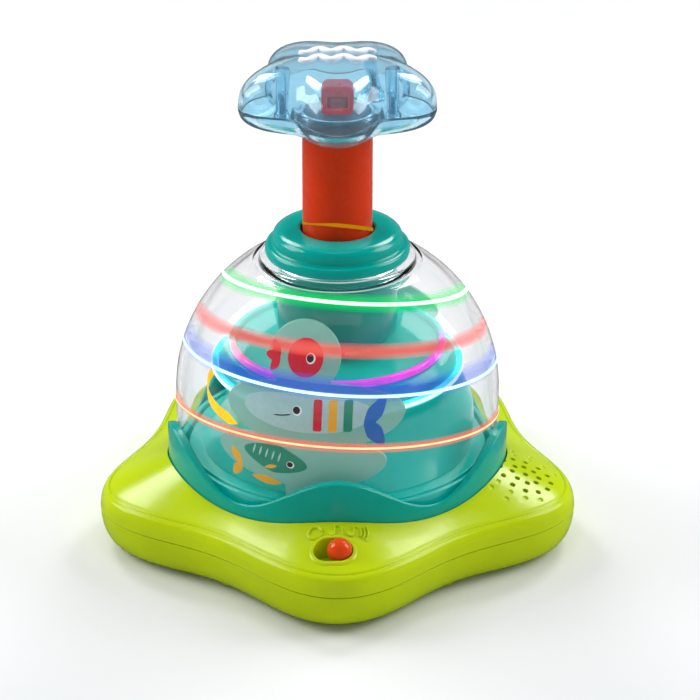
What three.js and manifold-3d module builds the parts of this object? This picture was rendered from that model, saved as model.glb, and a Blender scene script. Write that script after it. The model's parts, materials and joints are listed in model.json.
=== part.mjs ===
// Press-and-spin dome toy. A plunger is pushed down through a collar; its twisted rod turns a nut,
// and the nut drives a carousel of picture panels under a clear dome through a one-way ratchet.
// Millimetres, +Z up, the spin axis is Z, the floor is Z = 0 and the front lobe points along -Y.
import * as THREE from 'three';
import { mergeVertices } from 'three/addons/utils/BufferGeometryUtils.js';
import Module from 'manifold-3d';

const wasm = await Module();
wasm.setup();

// ---------------------------------------------------------------- driving dimensions
const GAP = 0.35;                   // clearance between neighbouring pieces
const LOBES = 5;
const FRONT = -Math.PI / 2;         // azimuth of the front lobe
const LOBE_MEAN = 104.5;            // radius of the edge of the top face, mean of lobe and valley
const LOBE_DEEP = 10.4;             // how far the lobes swing either side of that
const LOBE_BLUNT = 0.64;            // rounds the lobe tips
const EDGE_Z = 31.2;                // height of the edge of the top face
const TOP_SLOPE = 0.37;             // rise of the top face towards the dome
const SIDE_OUT = 6.3;               // the side bulges this far past the edge
const PART_Z = 20.6;                // joint between the two base shells
const WALL = 2.5;

const CUP_MEAN = 84.05;             // wave cup round the foot of the dome
const CUP_SWING = 1.5;
const RIM_MEAN = 51.5;              // height of the wavy rim
const RIM_SWING = 10.2;
const DECK_Z = 38.8;                // floor inside the cup
const DECK_T = 2.4;

const DOME_R = 80.2;                // outside of the clear dome
const DOME_Z = 72.3;                // height of its centre
const DOME_WALL = 2.4;
const NECK_R = 31.2;                // opening at the top of the dome
const NECK_TOP = 144.2;
const COLLAR_TOP = 158.2;
const GUIDE_R = 29.5;
const GUIDE_Z = 102.7;

const TUBE_R = 17.0;
const TUBE_WALL = 2.0;
const TUBE_LOW = 118;
const TUBE_TOP = 216.5;
const PIN_Z = 214.9;                // cross pin through tube, head and rod
const PIN_BORE = 1.6;
const RIB_AT = [90, 210, 330];      // ribs that stop the plunger turning
const ROD_SIDE = 8;                 // square drive rod
const ROD_LEAD = 28;                // height gained in one turn of its twist
const ROD_LOW = 54;
const ROD_TWIST_TOP = 118;
const ROD_TOP = 216.2;

const HANDLE_MEAN = 42.6;           // five-lobed knob on the plunger
const HANDLE_SWING = 6.5;
const HANDLE_LOW = 213.2;
const HANDLE_SEAM = 224.1;
const HANDLE_TOP = 247;
const HANDLE_WALL = 2.2;
const BOSS_R = 27;                  // screw circle of the knob
const BOSS_AT = [54, 198, 342];

const FLOOR_Z = 43;                 // carousel floor
const FLOOR_T = 2;
const FLOOR_R = 72.8;
const PANEL_IN = 72.2;              // picture panels follow the inside of the dome
const PANEL_OUT = 73.8;
const PANEL_AT = [260, 80];
const TEETH = 18;

const LAMP_CIRCLE = 38;             // lamps on the board and the windows in the floor above them
const LAMP_AT = [[30, 0xff3b30], [150, 0x34d058], [270, 0x3d7bff]];
const HILL_LOW = 45.4;              // foot of the stepped hill that stands on the carousel floor
const HILL_SCREW_R = 55;
const HILL_SCREW_AT = [60, 180, 300]; // between the ridges of the hill

const SCREW_CIRCLE = 88;            // housing screws, one in each valley
const CELL_D = 14.3;                // three AA cells
const CELL_L = 50;
const CELL_PITCH = 15.2;
const CELL_Z = 11.4;
const CELL_Y = 44;                  // middle of the battery bay

const SWITCH_Y = -102.7;            // three-position switch on the front lobe
const SWITCH_X = -2;
const SWITCH_TRAVEL = 6;
const SLOT_L = 18.6;
const SLOT_W = 13.3;
const KNOB_R = 6;
const KNOB_Z = 35.7;
const SKIRT = 1.2;                  // depth of the slot's inner wall under the top face
const RIM_LIFT = 0.8;               // raised rim round the slot
const MARK_LIFT = 0.65;             // raised sound marks

const SPEAKER_AT = 342;             // grille on the right-hand lobe
const SPEAKER_R = 97.6;
const DIMPLE_DEPTH = 0.7;

// ---------------------------------------------------------------- materials
const paint = (color, roughness, metalness = 0) =>
  new THREE.MeshStandardMaterial({ color, roughness, metalness });
const LIME = paint(0xbfd730, 0.35);
const TEAL = paint(0x00a38f, 0.3);
const ORANGE = paint(0xd8401a, 0.35);
const CLEAR = paint(0xe4edf2, 0.08);
const CLEAR_BLUE = paint(0x8fc4e0, 0.1);
const FROST = paint(0xcfe9e6, 0.4);
const GLOW = paint(0xbffcff, 0.25);
const WHITE = paint(0xf2f2ee, 0.4);
const STEEL = paint(0xb6babd, 0.3, 1);
const BOARD = paint(0x1f6b45, 0.6);
const BLACK = paint(0x1d1f21, 0.5);
const CELL = paint(0x3f5f7a, 0.35, 0.3);
const PAPER = paint(0x3a3d40, 0.8);

// ---------------------------------------------------------------- solid helpers
const rad = THREE.MathUtils.degToRad;
const polar = (r, deg) => [r * Math.cos(rad(deg)), r * Math.sin(rad(deg))];
const wave = (a, k = 1) => Math.cos(k * LOBES * (a - FRONT));
const value = (v, a) => (typeof v === 'function' ? v(a) : v);

function solid(position, index) {
  let volume = 0;
  const p = (i) => new THREE.Vector3(position[3 * i], position[3 * i + 1], position[3 * i + 2]);
  for (let i = 0; i < index.length; i += 3) {
    volume += p(index[i]).dot(p(index[i + 1]).cross(p(index[i + 2])));
  }
  const tri = volume < 0 ? index.slice().reverse() : index;
  return new wasm.Manifold(new wasm.Mesh({
    numProp: 3,
    vertProperties: Float32Array.from(position),
    triVerts: Uint32Array.from(tri),
  }));
}

// Turns a profile round the Z axis. The profile either closes on itself or runs from axis to axis.
// bunch draws the steps together at the lobe tips, where a lobed outline bends most.
function revolve(profile, steps = 40, [x, y, z] = [0, 0, 0], bunch = 0) {
  const onAxis = profile[0][0] === 0 && profile[profile.length - 1][0] === 0;
  const rows = onAxis ? profile.slice(1, -1) : profile;
  const n = rows.length;
  const position = [];
  const index = [];
  for (const [r, h] of rows) {
    for (let i = 0; i < steps; i++) {
      const even = FRONT + (i / steps) * 2 * Math.PI;
      const a = even - bunch * Math.sin(LOBES * (even - FRONT));
      const radius = value(r, a);
      position.push(x + radius * Math.cos(a), y + radius * Math.sin(a), z + value(h, a));
    }
  }
  for (let j = 0; j < (onAxis ? n - 1 : n); j++) {
    for (let i = 0; i < steps; i++) {
      const next = (i + 1) % steps;
      const low = j * steps;
      const high = ((j + 1) % n) * steps;
      index.push(low + i, low + next, high + next, low + i, high + next, high + i);
    }
  }
  if (onAxis) {
    const foot = position.length / 3;
    const last = (n - 1) * steps;
    position.push(x, y, z + profile[0][1], x, y, z + profile[profile.length - 1][1]);
    for (let i = 0; i < steps; i++) {
      const next = (i + 1) % steps;
      index.push(foot, next, i, foot + 1, last + i, last + next);
    }
  }
  return solid(position, index);
}

// Straight prism over a plan outline; an optional matrix lays it in another direction.
function prism(outline, z0, z1, { holes = [], matrix = null } = {}) {
  const shape = new THREE.Shape(outline.map(([x, y]) => new THREE.Vector2(x, y)));
  for (const hole of holes) {
    shape.holes.push(new THREE.Path(hole.map(([x, y]) => new THREE.Vector2(x, y))));
  }
  const body = new THREE.ExtrudeGeometry(shape, { depth: z1 - z0, bevelEnabled: false, steps: 1 });
  body.translate(0, 0, z0);
  return fromGeometry(body, matrix);
}

function fromGeometry(geometry, matrix = null) {
  if (matrix) geometry.applyMatrix4(matrix);
  geometry.deleteAttribute('normal');
  geometry.deleteAttribute('uv');
  const merged = mergeVertices(geometry, 1e-4);
  return solid(Array.from(merged.attributes.position.array), Array.from(merged.index.array));
}

const circle = (x, y, r, n = 16) => Array.from({ length: n }, (_, i) => {
  const a = ((i + 0.5) / n) * 2 * Math.PI;
  return [x + r * Math.cos(a), y + r * Math.sin(a)];
});
const oval = (x, y, rx, ry, n = 24) => Array.from({ length: n }, (_, i) => {
  const a = (i / n) * 2 * Math.PI;
  return [x + rx * Math.cos(a), y + ry * Math.sin(a)];
});
const block = (x0, x1, y0, y1) => [[x0, y0], [x1, y0], [x1, y1], [x0, y1]];
function rounded(x0, x1, y0, y1, r, n = 4) {
  const points = [];
  [[x1 - r, y1 - r, 0], [x0 + r, y1 - r, 90], [x0 + r, y0 + r, 180], [x1 - r, y0 + r, 270]]
    .forEach(([cx, cy, from]) => {
      for (let i = 0; i <= n; i++) {
        const [dx, dy] = polar(r, from + (90 * i) / n);
        points.push([cx + dx, cy + dy]);
      }
    });
  return points;
}
const stadium = (x, y, length, width, n = 4) =>
  rounded(x - length / 2, x + length / 2, y - width / 2, y + width / 2, width / 2 - 0.01, n);
function band(points, width) {       // even-width ribbon along an open run of points
  const side = (s) => points.map(([x, y], i) => {
    const [px, py] = points[Math.max(i - 1, 0)];
    const [nx, ny] = points[Math.min(i + 1, points.length - 1)];
    const length = Math.hypot(nx - px, ny - py);
    return [x - (s * width * (ny - py)) / (2 * length), y + (s * width * (nx - px)) / (2 * length)];
  });
  return [...side(-1), ...side(1).reverse()];
}
const arc = (x, y, r, from, to, n = 6) => Array.from({ length: n + 1 }, (_, i) => {
  const [dx, dy] = polar(r, from + ((to - from) * i) / n);
  return [x + dx, y + dy];
});
const disc = (x, y, r, z0, z1, n = 16) => prism(circle(x, y, r, n), z0, z1);
const pipe = (r0, r1, z0, z1, n = 32) => revolve([[r1, z0], [r1, z1], [r0, z1], [r0, z0]], n);
const joined = (first, ...rest) => rest.reduce((sum, one) => sum.add(one), first);

const alongX = (x, y, z) => new THREE.Matrix4().makeTranslation(x, y, z)
  .multiply(new THREE.Matrix4().makeRotationY(Math.PI / 2));
const upright = () => new THREE.Matrix4().makeRotationX(Math.PI / 2);
const turned = (deg) => new THREE.Matrix4().makeRotationZ(rad(deg));

const toy = new THREE.Group();
toy.name = 'spinning_top';
function add(name, body, material) {
  const { vertProperties, triVerts } = body.getMesh();
  const geometry = new THREE.BufferGeometry();
  geometry.setAttribute('position', new THREE.BufferAttribute(Float32Array.from(vertProperties), 3));
  geometry.setIndex(new THREE.BufferAttribute(Uint32Array.from(triVerts), 1));
  geometry.computeVertexNormals();
  const mesh = new THREE.Mesh(geometry, material);
  mesh.name = name;
  toy.add(mesh);
}
function screw(name, x, y, headLow, headHigh, headR, shankTop, shankR) {
  const profile = [[0, headLow], [headR - 0.4, headLow], [headR, headHigh], [shankR, headHigh],
    [shankR, shankTop - 1.5], [0, shankTop]];
  const reach = headR * 0.6;
  const drive = prism(block(x - reach, x + reach, y - 0.35, y + 0.35), headLow - 1, headLow + 0.6);
  add(name, revolve(profile, 8, [x, y, 0]).subtract(drive), STEEL);
}

// ---------------------------------------------------------------- base outline
const edge = (a) => LOBE_MEAN + LOBE_DEEP * wave(a) + LOBE_BLUNT * wave(a, 2);
const out = (d) => (a) => edge(a) + d;
const cup = (d = 0) => (a) => CUP_MEAN + CUP_SWING * wave(a) + d;
const faceZ = (r, d = 0) => (a) => EDGE_Z + TOP_SLOPE * (edge(a) - value(r, a)) + d;
const lobed = (profile, steps = 50) => revolve(profile, steps, [0, 0, 0], 0.055);

// Solid block under the top face, raised or lowered by d; used to trim raised marks and bosses.
const underFace = (d) => lobed([[0, PART_Z], [out(4), PART_Z], [out(4), 24], [out(0), EDGE_Z + d],
  [cup(0.4), faceZ(cup(0.4), d)], [60, faceZ(60, d)], [0, 60 + d]]);

// ---------------------------------------------------------------- base, upper shell
const slot = stadium(SWITCH_X, SWITCH_Y, SLOT_L, SLOT_W);
const valleys = [0, 1, 2, 3, 4].map((i) => 90 + (360 / LOBES) * i);
{
  const hole = cup(0.45);
  const inner = cup(0.45 + 2.4);
  let shell = lobed([
    [hole, 30], [inner, 30], [inner, faceZ(inner, -WALL)], [out(-0.4), 28.4],
    [out(3.6), 25], [out(3.8), PART_Z + 0.3], [out(SIDE_OUT), PART_Z + 0.3],
    [out(5.6), 26], [out(3.8), 29.1], [out(1.9), 30.3], [out(1), 30.1],
    [out(-0.6), faceZ(out(-0.6))], [hole, faceZ(hole)],
  ]);
  const core = underFace(-SKIRT);
  const skirt = prism(stadium(SWITCH_X, SWITCH_Y, SLOT_L + 2.8, SLOT_W + 2.8), 29.4, 45).intersect(core);
  const rim = prism(stadium(SWITCH_X, SWITCH_Y, SLOT_L + 4.8, SLOT_W + 4.2), 31, 45)
    .intersect(underFace(RIM_LIFT)).subtract(core);
  shell = joined(shell, skirt, rim);
  for (const at of valleys) {
    const [x, y] = polar(SCREW_CIRCLE, at);
    shell = shell.add(disc(x, y, 3.4, 6.2, 45, 8).intersect(lobed(
      [[0, 6.2], [out(-2), 6.2], [out(-2), 29], [cup(1.5), faceZ(cup(1.5), -1)], [0, 60]])));
    shell = shell.subtract(disc(x, y, 1.7, 5, 17, 6));
  }
  shell = shell.subtract(prism(slot, 20, 50));

  // Sound marks beside the switch: a ring for off, a note with one bar, a note with three bars.
  const raised = underFace(MARK_LIFT);
  const low = SWITCH_Y + 10.9;
  const mark = (outline, holes = []) => prism(outline, 34, 50, { holes }).intersect(raised).subtract(core);
  const note = (x, bars) => {
    const stem = [[x + 1, low - 1.6], [x + 1.9, low - 1.6], [x + 1.9, low + 2.4], [x + 3.4, low + 2.4],
      [x + 3.4, low + 3.4], [x + 1, low + 3.4]];
    const sound = Array.from({ length: bars }, (_, i) =>
      mark(band(arc(x + 0.5, low, 4.6 + 2 * i, -27, 27, 2), 0.8)));
    return [mark(oval(x, low - 1.6, 1.9, 1.5, 8)), mark(stem), ...sound];
  };
  const marks = [mark(circle(SWITCH_X - 8.8, low, 3.9, 12), [circle(SWITCH_X - 8.8, low, 2.8, 12)]),
    ...note(SWITCH_X - 0.8, 1), ...note(SWITCH_X + 8.2, 3)];
  shell = joined(shell, ...marks);

  // Speaker grille: one hole, a ring of eight, a ring of twelve, and shallow dimples on both flanks.
  const [gx, gy] = polar(SPEAKER_R, SPEAKER_AT);
  const spot = (r, deg) => {
    const [u, v] = polar(r, SPEAKER_AT + deg);
    return [gx + u, gy + v];
  };
  const holes = [[0, 0, 1], [6.6, 22.5, 8], [12.6, 15, 12]].flatMap(([r, first, count]) =>
    Array.from({ length: count }, (_, i) => spot(r, first + (360 * i) / count)));
  for (const [x, y] of holes) shell = shell.subtract(disc(x, y, 1.3, 24, 45, 6));
  const shallow = underFace(-DIMPLE_DEPTH);
  const dimples = [[17.6, 50], [17.6, 75], [17.6, 100], [17.6, 125], [23, 99], [23, 122]]
    .flatMap(([r, deg]) => [spot(r, deg), spot(r, -deg)]);
  for (const [x, y] of dimples) {
    shell = shell.subtract(disc(x, y, 1.45, 30, 45, 6).subtract(shallow));
  }
  add('base_top_shell', shell, LIME);
}

// ---------------------------------------------------------------- base, lower shell
const bayX = 1.5 * CELL_PITCH + 1.2;
const bayY0 = CELL_Y - CELL_L / 2 - 2.2;
const bayY1 = CELL_Y + CELL_L / 2 + 2.2;
const doorY0 = bayY0 + 1;
const doorY1 = bayY1 + 9.5;
{
  let shell = lobed([
    [0, 0], [out(-9), 0], [out(-3.2), 1.1], [out(1.2), 3.9], [out(4), 8], [out(5.8), 14],
    [out(SIDE_OUT), PART_Z], [out(3.9), PART_Z], [out(2.6), 10], [out(-8), WALL], [0, WALL],
  ]);
  const wall = 1.6;
  const box = (x0, x1, y0, y1, z1) => prism(block(x0, x1, y0, y1), 1, z1);
  shell = joined(shell,
    box(-bayX - wall, bayX + wall, bayY0 - wall, bayY0, 15),
    box(-bayX - wall, bayX + wall, bayY1, bayY1 + wall, 15),
    box(-bayX - wall, -bayX, bayY0 - 1, bayY1 + 1, 12),
    box(bayX, bayX + wall, bayY0 - 1, bayY1 + 1, 12),
    prism(block(-4.5, 4.5, bayY1 + 1, doorY1 + 1), 5.4, 13),
    box(-4.5, 4.5, doorY1 + 0.2, doorY1 + 2, 13),
    pipe(12.5, 13.9, 2, 6.5, 16));
  for (const x of [-64, -34]) shell = shell.add(disc(x, -6, 2.6, 1, 20, 6));   // board posts
  for (const at of valleys) {
    const [x, y] = polar(SCREW_CIRCLE, at);
    shell = shell.add(disc(x, y, 5, 1.2, 5.8, 8));
    shell = shell.subtract(joined(disc(x, y, 3.4, -1, 3.8, 8), disc(x, y, 1.9, 3, 7, 6)));
  }
  shell = shell.subtract(joined(prism(rounded(-bayX + 1, bayX - 1, doorY0, doorY1, 3), -1, 5.3),
    disc(0, doorY1 - 4.2, 1.45, 4, 14, 10)));
  add('base_bottom_shell', shell, LIME);
}
valleys.forEach((at, i) => {
  const [x, y] = polar(SCREW_CIRCLE, at);
  screw(`housing_screw_${i + 1}`, x, y, 1.4, 3.5, 2.9, 15.5, 1.4);
});

// ---------------------------------------------------------------- battery bay
{
  const x = bayX - 1 - GAP;
  const bossY = doorY1 - 4.2;
  let door = prism(rounded(-x, x, doorY0 + GAP, doorY1 - GAP, 2.7), 0, 2.1);
  door = door.add(disc(0, bossY, 3.8, 1, 5, 8));
  for (let i = -2; i <= 2; i++) {                       // finger ribs on the outside
    door = door.subtract(prism(block(-9, 9, CELL_Y - 1 + 4 * i, CELL_Y + 1 + 4 * i), -1, 0.6));
  }
  door = door.subtract(joined(disc(0, bossY, 2.9, -1, 2.6, 8), disc(0, bossY, 1.6, 2, 6, 6)));
  add('battery_door', door, LIME);
  screw('battery_door_screw', 0, bossY, 0.6, 2.3, 2.5, 11.5, 1.15);
}
for (let i = 0; i < 3; i++) {
  const flip = i % 2 ? -1 : 1;
  const r = CELL_D / 2;
  const half = CELL_L / 2;
  const profile = [[0, -half], [r - 0.5, -half], [r, -half + 0.8], [r, half - 2], [r - 0.8, half - 1.4],
    [2.7, half - 1.4], [2.6, half], [0, half]];
  const body = new THREE.LatheGeometry(profile.map(([u, v]) => new THREE.Vector2(u, v)), 10);
  if (flip < 0) body.rotateX(Math.PI);
  body.translate((i - 1) * CELL_PITCH, CELL_Y, CELL_Z);
  add(`battery_${i + 1}`, fromGeometry(body), CELL);
}
[[bayY0 + 0.4, 'front'], [bayY1 - 1, 'rear']].forEach(([y, side]) => {
  const strip = prism(rounded(-bayX + 2, bayX - 2, CELL_Z - 5.4, CELL_Z + 5.6, 1.5), 0, 0.6,
    { matrix: new THREE.Matrix4().makeTranslation(0, y + 0.6, 0).multiply(upright()) });
  add(`battery_contact_${side}`, strip, STEEL);
});

// ---------------------------------------------------------------- circuit board, speaker, switch body
{
  let board = prism(rounded(-70, -28, -32, 20, 2), 20.4, 22);
  for (const [x, y] of [[-58, -14], [-44, 4]]) {        // chips and a capacitor
    board = board.add(prism(block(x - 5, x + 5, y - 4, y + 4), 21.5, 23.6));
  }
  board = board.add(disc(-38, -20, 3.2, 21.5, 29, 12));
  add('circuit_board', board, BOARD);

  const [x, y] = polar(SPEAKER_R, SPEAKER_AT);
  const at = [x, y, 0];
  add('speaker_frame', revolve([[6, 18.4], [8, 18.4], [13, 23.4], [14, 24], [14, 26.2], [12.4, 26.2],
    [11.8, 24.6], [6.6, 20]], 14, at), BLACK);
  add('speaker_cone', revolve([[0, 21.2], [4.4, 21.2], [6.8, 20.6], [11.4, 25.2], [11.4, 26], [10.4, 26],
    [6.6, 22.2], [0, 23]], 14, at), PAPER);
  add('speaker_magnet', revolve([[0, 13.6], [7.2, 13.6], [7.6, 14], [7.6, 18], [0, 18]], 12, at), STEEL);

  let body = prism(rounded(SWITCH_X - 11, SWITCH_X + 11, SWITCH_Y - 5, SWITCH_Y + 5, 1), 17, 25.4);
  body = body.subtract(prism(stadium(SWITCH_X, SWITCH_Y, 14, 5), 21, 27));
  add('switch_body', body, BLACK);
}

// ---------------------------------------------------------------- switch knob, rests at its right-hand end
{
  const x = SWITCH_X + SWITCH_TRAVEL / 2;
  const ball = [[0, 28.2], [2.4, 28.2], [2.4, KNOB_Z - 5.4]];
  for (let i = 1; i < 12; i++) {
    const t = rad(-64 + 18 * i);
    if (t < Math.PI / 2) ball.push([KNOB_R * Math.cos(t), KNOB_Z + KNOB_R * Math.sin(t)]);
  }
  ball.push([0, KNOB_Z + KNOB_R]);
  add('switch_knob', revolve(ball, 16, [x, SWITCH_Y + 0.3, 0]), ORANGE);
  const plate = prism(rounded(x - 15.2, x + 15.2, SWITCH_Y - 6.9, SWITCH_Y + 9.4, 2), 26.7, 27.9);
  add('switch_slider', plate.add(prism(block(x - 2, x + 2, SWITCH_Y - 2, SWITCH_Y + 2), 23, 27)), LIME);
}

// ---------------------------------------------------------------- wave cup and dome
{
  const rimZ = (d) => (a) => RIM_MEAN + RIM_SWING * wave(a) + d;
  const inside = DOME_R + 0.55;
  const body = lobed([
    [9.7, DECK_Z - DECK_T], [78, DECK_Z - DECK_T], [78, 30], [cup(), 30], [cup(), rimZ(-1.1)],
    [cup(-0.7), rimZ(0)], [inside, rimZ(-0.3)],
    [inside, DECK_Z], [9.7, DECK_Z],
  ]);
  add('wave_cup', body, TEAL);

  const arcZ = (R, r) => DOME_Z + Math.sqrt(R * R - r * r);
  const shell = [[DOME_R - DOME_WALL, DECK_Z + GAP], [DOME_R, DECK_Z + GAP], [DOME_R, DOME_Z]];
  for (let i = 1; i <= 6; i++) {
    const t = rad(9.8 * i);
    shell.push([DOME_R * Math.cos(t), DOME_Z + DOME_R * Math.sin(t)]);
  }
  shell.push([41, 139.8], [38.6, 140.6], [38.1, 143.4], [37.2, NECK_TOP], [NECK_R, NECK_TOP],
    [NECK_R, 139.2]);
  const thin = DOME_R - DOME_WALL;
  shell.push([42.6, arcZ(thin, 42.6)]);
  for (let i = 4; i >= 1; i--) {
    const t = rad(11.6 * i);
    shell.push([thin * Math.cos(t), DOME_Z + thin * Math.sin(t)]);
  }
  shell.push([thin, DOME_Z]);
  add('dome', revolve(shell, 36), CLEAR);
}

// ---------------------------------------------------------------- collar and plunger guide
add('collar', revolve([
  [27.6, NECK_TOP + 0.7], [34.4, NECK_TOP + 0.7], [35.35, 145.8], [35.35, 147.8], [34.6, 149.6],
  [31.6, 150.4], [31.4, 152.6], [30.4, 155], [28.2, 156.9], [24.8, 158], [21.4, COLLAR_TOP],
  [18.6, 157.8], [17.95, 157.1], [17.95, 152.5], [27.6, 152.5],
], 32), TEAL);
{
  let guide = revolve([
    [17.5, GUIDE_Z], [25.6, GUIDE_Z], [28.6, GUIDE_Z + 1.6], [GUIDE_R, GUIDE_Z + 4.4], [GUIDE_R, 142.5],
    [27.2, 142.5], [27.2, 152.1], [25.2, 152.1], [25.2, GUIDE_Z + 2.4], [17.5, GUIDE_Z + 2.4],
  ], 28);
  for (const at of RIB_AT) {
    const rib = prism([[23.6, -1.2], [26.6, -1.2], [26.6, 1.2], [23.6, 1.2]], GUIDE_Z + 1, 152.1,
      { matrix: turned(at) });
    guide = guide.add(rib);
  }
  add('plunger_guide', guide, TEAL);
}

// ---------------------------------------------------------------- plunger
const pinHole = () => prism(circle(0, 0, PIN_BORE, 6), -30, 30, { matrix: alongX(0, 0, PIN_Z) });
{
  const tube = pipe(TUBE_R - TUBE_WALL, TUBE_R, TUBE_LOW, TUBE_TOP, 28).subtract(pinHole());
  add('plunger_tube', tube, ORANGE);

  let ring = pipe(TUBE_R + 0.3, 24.6, 147.4, 152.1, 24);
  for (const at of RIB_AT) {
    ring = ring.subtract(prism([[22.9, -1.9], [26, -1.9], [26, 1.9], [22.9, 1.9]], 140, 160,
      { matrix: turned(at) }));
  }
  add('stop_ring', ring, TEAL);

  const plug = TUBE_R - TUBE_WALL - 0.3;
  let head = revolve([[0, 212.8], [plug, 212.8], [plug, 216.9], [16.8, 216.9], [16.8, 218.6],
    [0, 218.6]], 20);
  head = head.add(prism(rounded(-7.5, 7.5, 218, 232, 3, 3), -5, 5, { matrix: upright() }));
  head = head.subtract(prism(block(-5, 5, 219.6, 227), -8, 8, { matrix: upright() }));
  head = head.subtract(joined(disc(0, 0, 4.5, 210, 216.6, 10), pinHole()));
  add('tube_head', head, ORANGE);
  add('rod_pin', prism(circle(0, 0, 1.15, 8), -16.4, 16.4, { matrix: alongX(0, 0, PIN_Z) }), STEEL);
}

// Square bar twisted at one turn per ROD_LEAD. Its flats lie just inside the true screw surface for the
// rod and just outside it for the hole in the nut, so the two run clear at every height.
function twisted(side, z0, z1, outside = false) {
  const steps = Math.ceil((z1 - z0) / (ROD_LEAD / 16));
  const position = [];
  const index = [];
  for (let k = 0; k <= steps; k++) {
    const z = z0 + ((z1 - z0) * k) / steps;
    for (let c = 0; c < 4; c++) {
      const a = Math.PI / 4 + (c * Math.PI) / 2 + (2 * Math.PI * z) / ROD_LEAD;
      position.push((side / Math.SQRT2) * Math.cos(a), (side / Math.SQRT2) * Math.sin(a), z);
    }
  }
  for (let k = 0; k < steps; k++) {
    for (let c = 0; c < 4; c++) {
      const low = 4 * k;
      const next = (c + 1) % 4;
      const high = low + 4;
      if (outside) index.push(low + c, low + next, high + c, low + next, high + next, high + c);
      else index.push(low + c, low + next, high + next, low + c, high + next, high + c);
    }
  }
  const top = 4 * steps;
  index.push(0, 2, 1, 0, 3, 2, top, top + 1, top + 2, top, top + 2, top + 3);
  return solid(position, index);
}
add('drive_rod', twisted(ROD_SIDE, ROD_LOW, ROD_TWIST_TOP)
  .add(disc(0, 0, 3.9, ROD_TWIST_TOP - 1, ROD_TOP, 10))
  .subtract(pinHole()), STEEL);

{
  const turns = 9;
  const low = 71.8;
  const high = 211.6;
  const r = 12.2;
  class Helix extends THREE.Curve {
    getPoint(t) {
      const a = 2 * Math.PI * turns * t;
      return new THREE.Vector3(r * Math.cos(a), r * Math.sin(a), low + (high - low) * t);
    }
  }
  const wire = new THREE.Shape(circle(0, 0, 0.8, 4).map(([x, y]) => new THREE.Vector2(x, y)));
  const coil = new THREE.ExtrudeGeometry(wire,
    { steps: turns * 7, extrudePath: new Helix(), bevelEnabled: false });
  add('return_spring', fromGeometry(coil), STEEL);
}

// ---------------------------------------------------------------- knob on the plunger
{
  const scaled = (f, d = 0) => (a) => f * (HANDLE_MEAN + f * HANDLE_SWING * wave(a)) + d;
  const steps = 40;
  const upper = [[1, HANDLE_SEAM], [0.998, 228.6], [0.96, 234.4], [0.885, 238.6],
    [0.75, 242.2], [0.45, 245.8]];
  const lower = [[0.5, HANDLE_LOW], [0.72, 213.8], [0.87, 215.6], [0.96, 218.8], [1, HANDLE_SEAM - 0.3]];
  const thin = HANDLE_WALL;
  const skin = upper.map(([f, z]) => [scaled(f), z]);
  const lining = upper.map(([f, z], i) =>
    [scaled(f, -thin * Math.max(f, 0.4)), z - thin * Math.min(1, i / 3)]);
  const upperBlock = lobed([[0, HANDLE_SEAM], ...skin, [0, HANDLE_TOP]], steps);
  const upperRoom = lobed([[0, HANDLE_SEAM - 5], [scaled(1, -thin), HANDLE_SEAM - 5], ...lining,
    [0, HANDLE_TOP - thin]], steps);
  let top = upperBlock.subtract(upperRoom);
  const lowerBlock = lobed([[0, HANDLE_LOW], ...lower.map(([f, z]) => [scaled(f), z]),
    [0, HANDLE_SEAM - 0.3]], steps);
  const lowerRoom = lobed([[0, 215.4], [scaled(0.75, -thin), 215.9], [scaled(0.93, -thin), 219],
    [scaled(1, -thin), 230], [0, 230]], steps);
  let base = lowerBlock.subtract(lowerRoom).add(pipe(TUBE_R + GAP, TUBE_R + 2.2, 214, 219.4, 24));
  base = base.subtract(disc(0, 0, TUBE_R + GAP, 210, 222, 24));
  BOSS_AT.forEach((at, i) => {
    const [x, y] = polar(BOSS_R, at);
    const underSkin = lobed([[0, 220], [scaled(0.96), 220], ...skin.slice(1).map(([r, z]) => [r, z - 1]),
      [0, HANDLE_TOP - 1]], steps);
    top = top.add(disc(x, y, 3.4, 221, HANDLE_TOP, 8).intersect(underSkin));
    top = top.subtract(disc(x, y, 1.6, 219, 232, 6));
    base = base.add(disc(x, y, 4.4, 214.4, 220.6, 8));
    base = base.subtract(joined(disc(x, y, 2.9, 210, 216.7, 8), disc(x, y, 1.7, 214, 224, 6)));
    screw(`handle_screw_${i + 1}`, x, y, 214.7, 216.4, 2.4, 230, 1.2);
  });
  add('handle_lower_shell', base, CLEAR_BLUE);
  add('handle_upper_shell', top, CLEAR_BLUE);

  // Raised wave marks on the crown.
  const cap = (d) => lobed([[0, 225], [scaled(0.885), 225], ...skin.slice(3).map(([r, z]) => [r, z + d]),
    [0, HANDLE_TOP + d]], steps);
  const layer = cap(1.5).subtract(cap(0.3));
  [-5.4, 5.4].forEach((y, k) => {
    const run = Array.from({ length: 9 }, (_, i) => {
      const x = -18 + 4.5 * i;
      return [x, y + 2.1 * Math.sin((x / 12) * 2 * Math.PI)];
    });
    add(`crown_wave_${k + 1}`, prism(band(run, 4.2), 235, 252).intersect(layer), WHITE);
  });
}

// ---------------------------------------------------------------- spindle, drive nut and washers
add('spindle_post', revolve([[6.7, 2.85], [12, 2.85], [12, 5], [9.3, 5.4], [9.3, 55],
  [6.7, 55]], 20), WHITE);
add('bearing_washer', pipe(9.7, 15, DECK_Z + 0.3, DECK_Z + 1.5, 16), STEEL);
{
  const hubLow = 55.35;
  const hub = revolve([[0, hubLow], [12, hubLow], [12, 69], [0, 69]], 20);
  let nut = joined(pipe(9.8, 12, 40.7, hubLow + 0.3, 20), hub);
  for (const at of [0, 120, 240]) {                     // springy pawls
    const arm = [[11.4, -16], [13.4, 6], [15.4, 26], [17.9, 46], [16.2, 47], [13.6, 27], [11.4, 12]]
      .map(([r, deg]) => polar(r, deg + at));
    nut = nut.add(prism(arm, 46, 51));
  }
  add('drive_nut', nut.subtract(twisted(ROD_SIDE + 0.75, hubLow - 1.75, 70.75, true)), WHITE);
}
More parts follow.
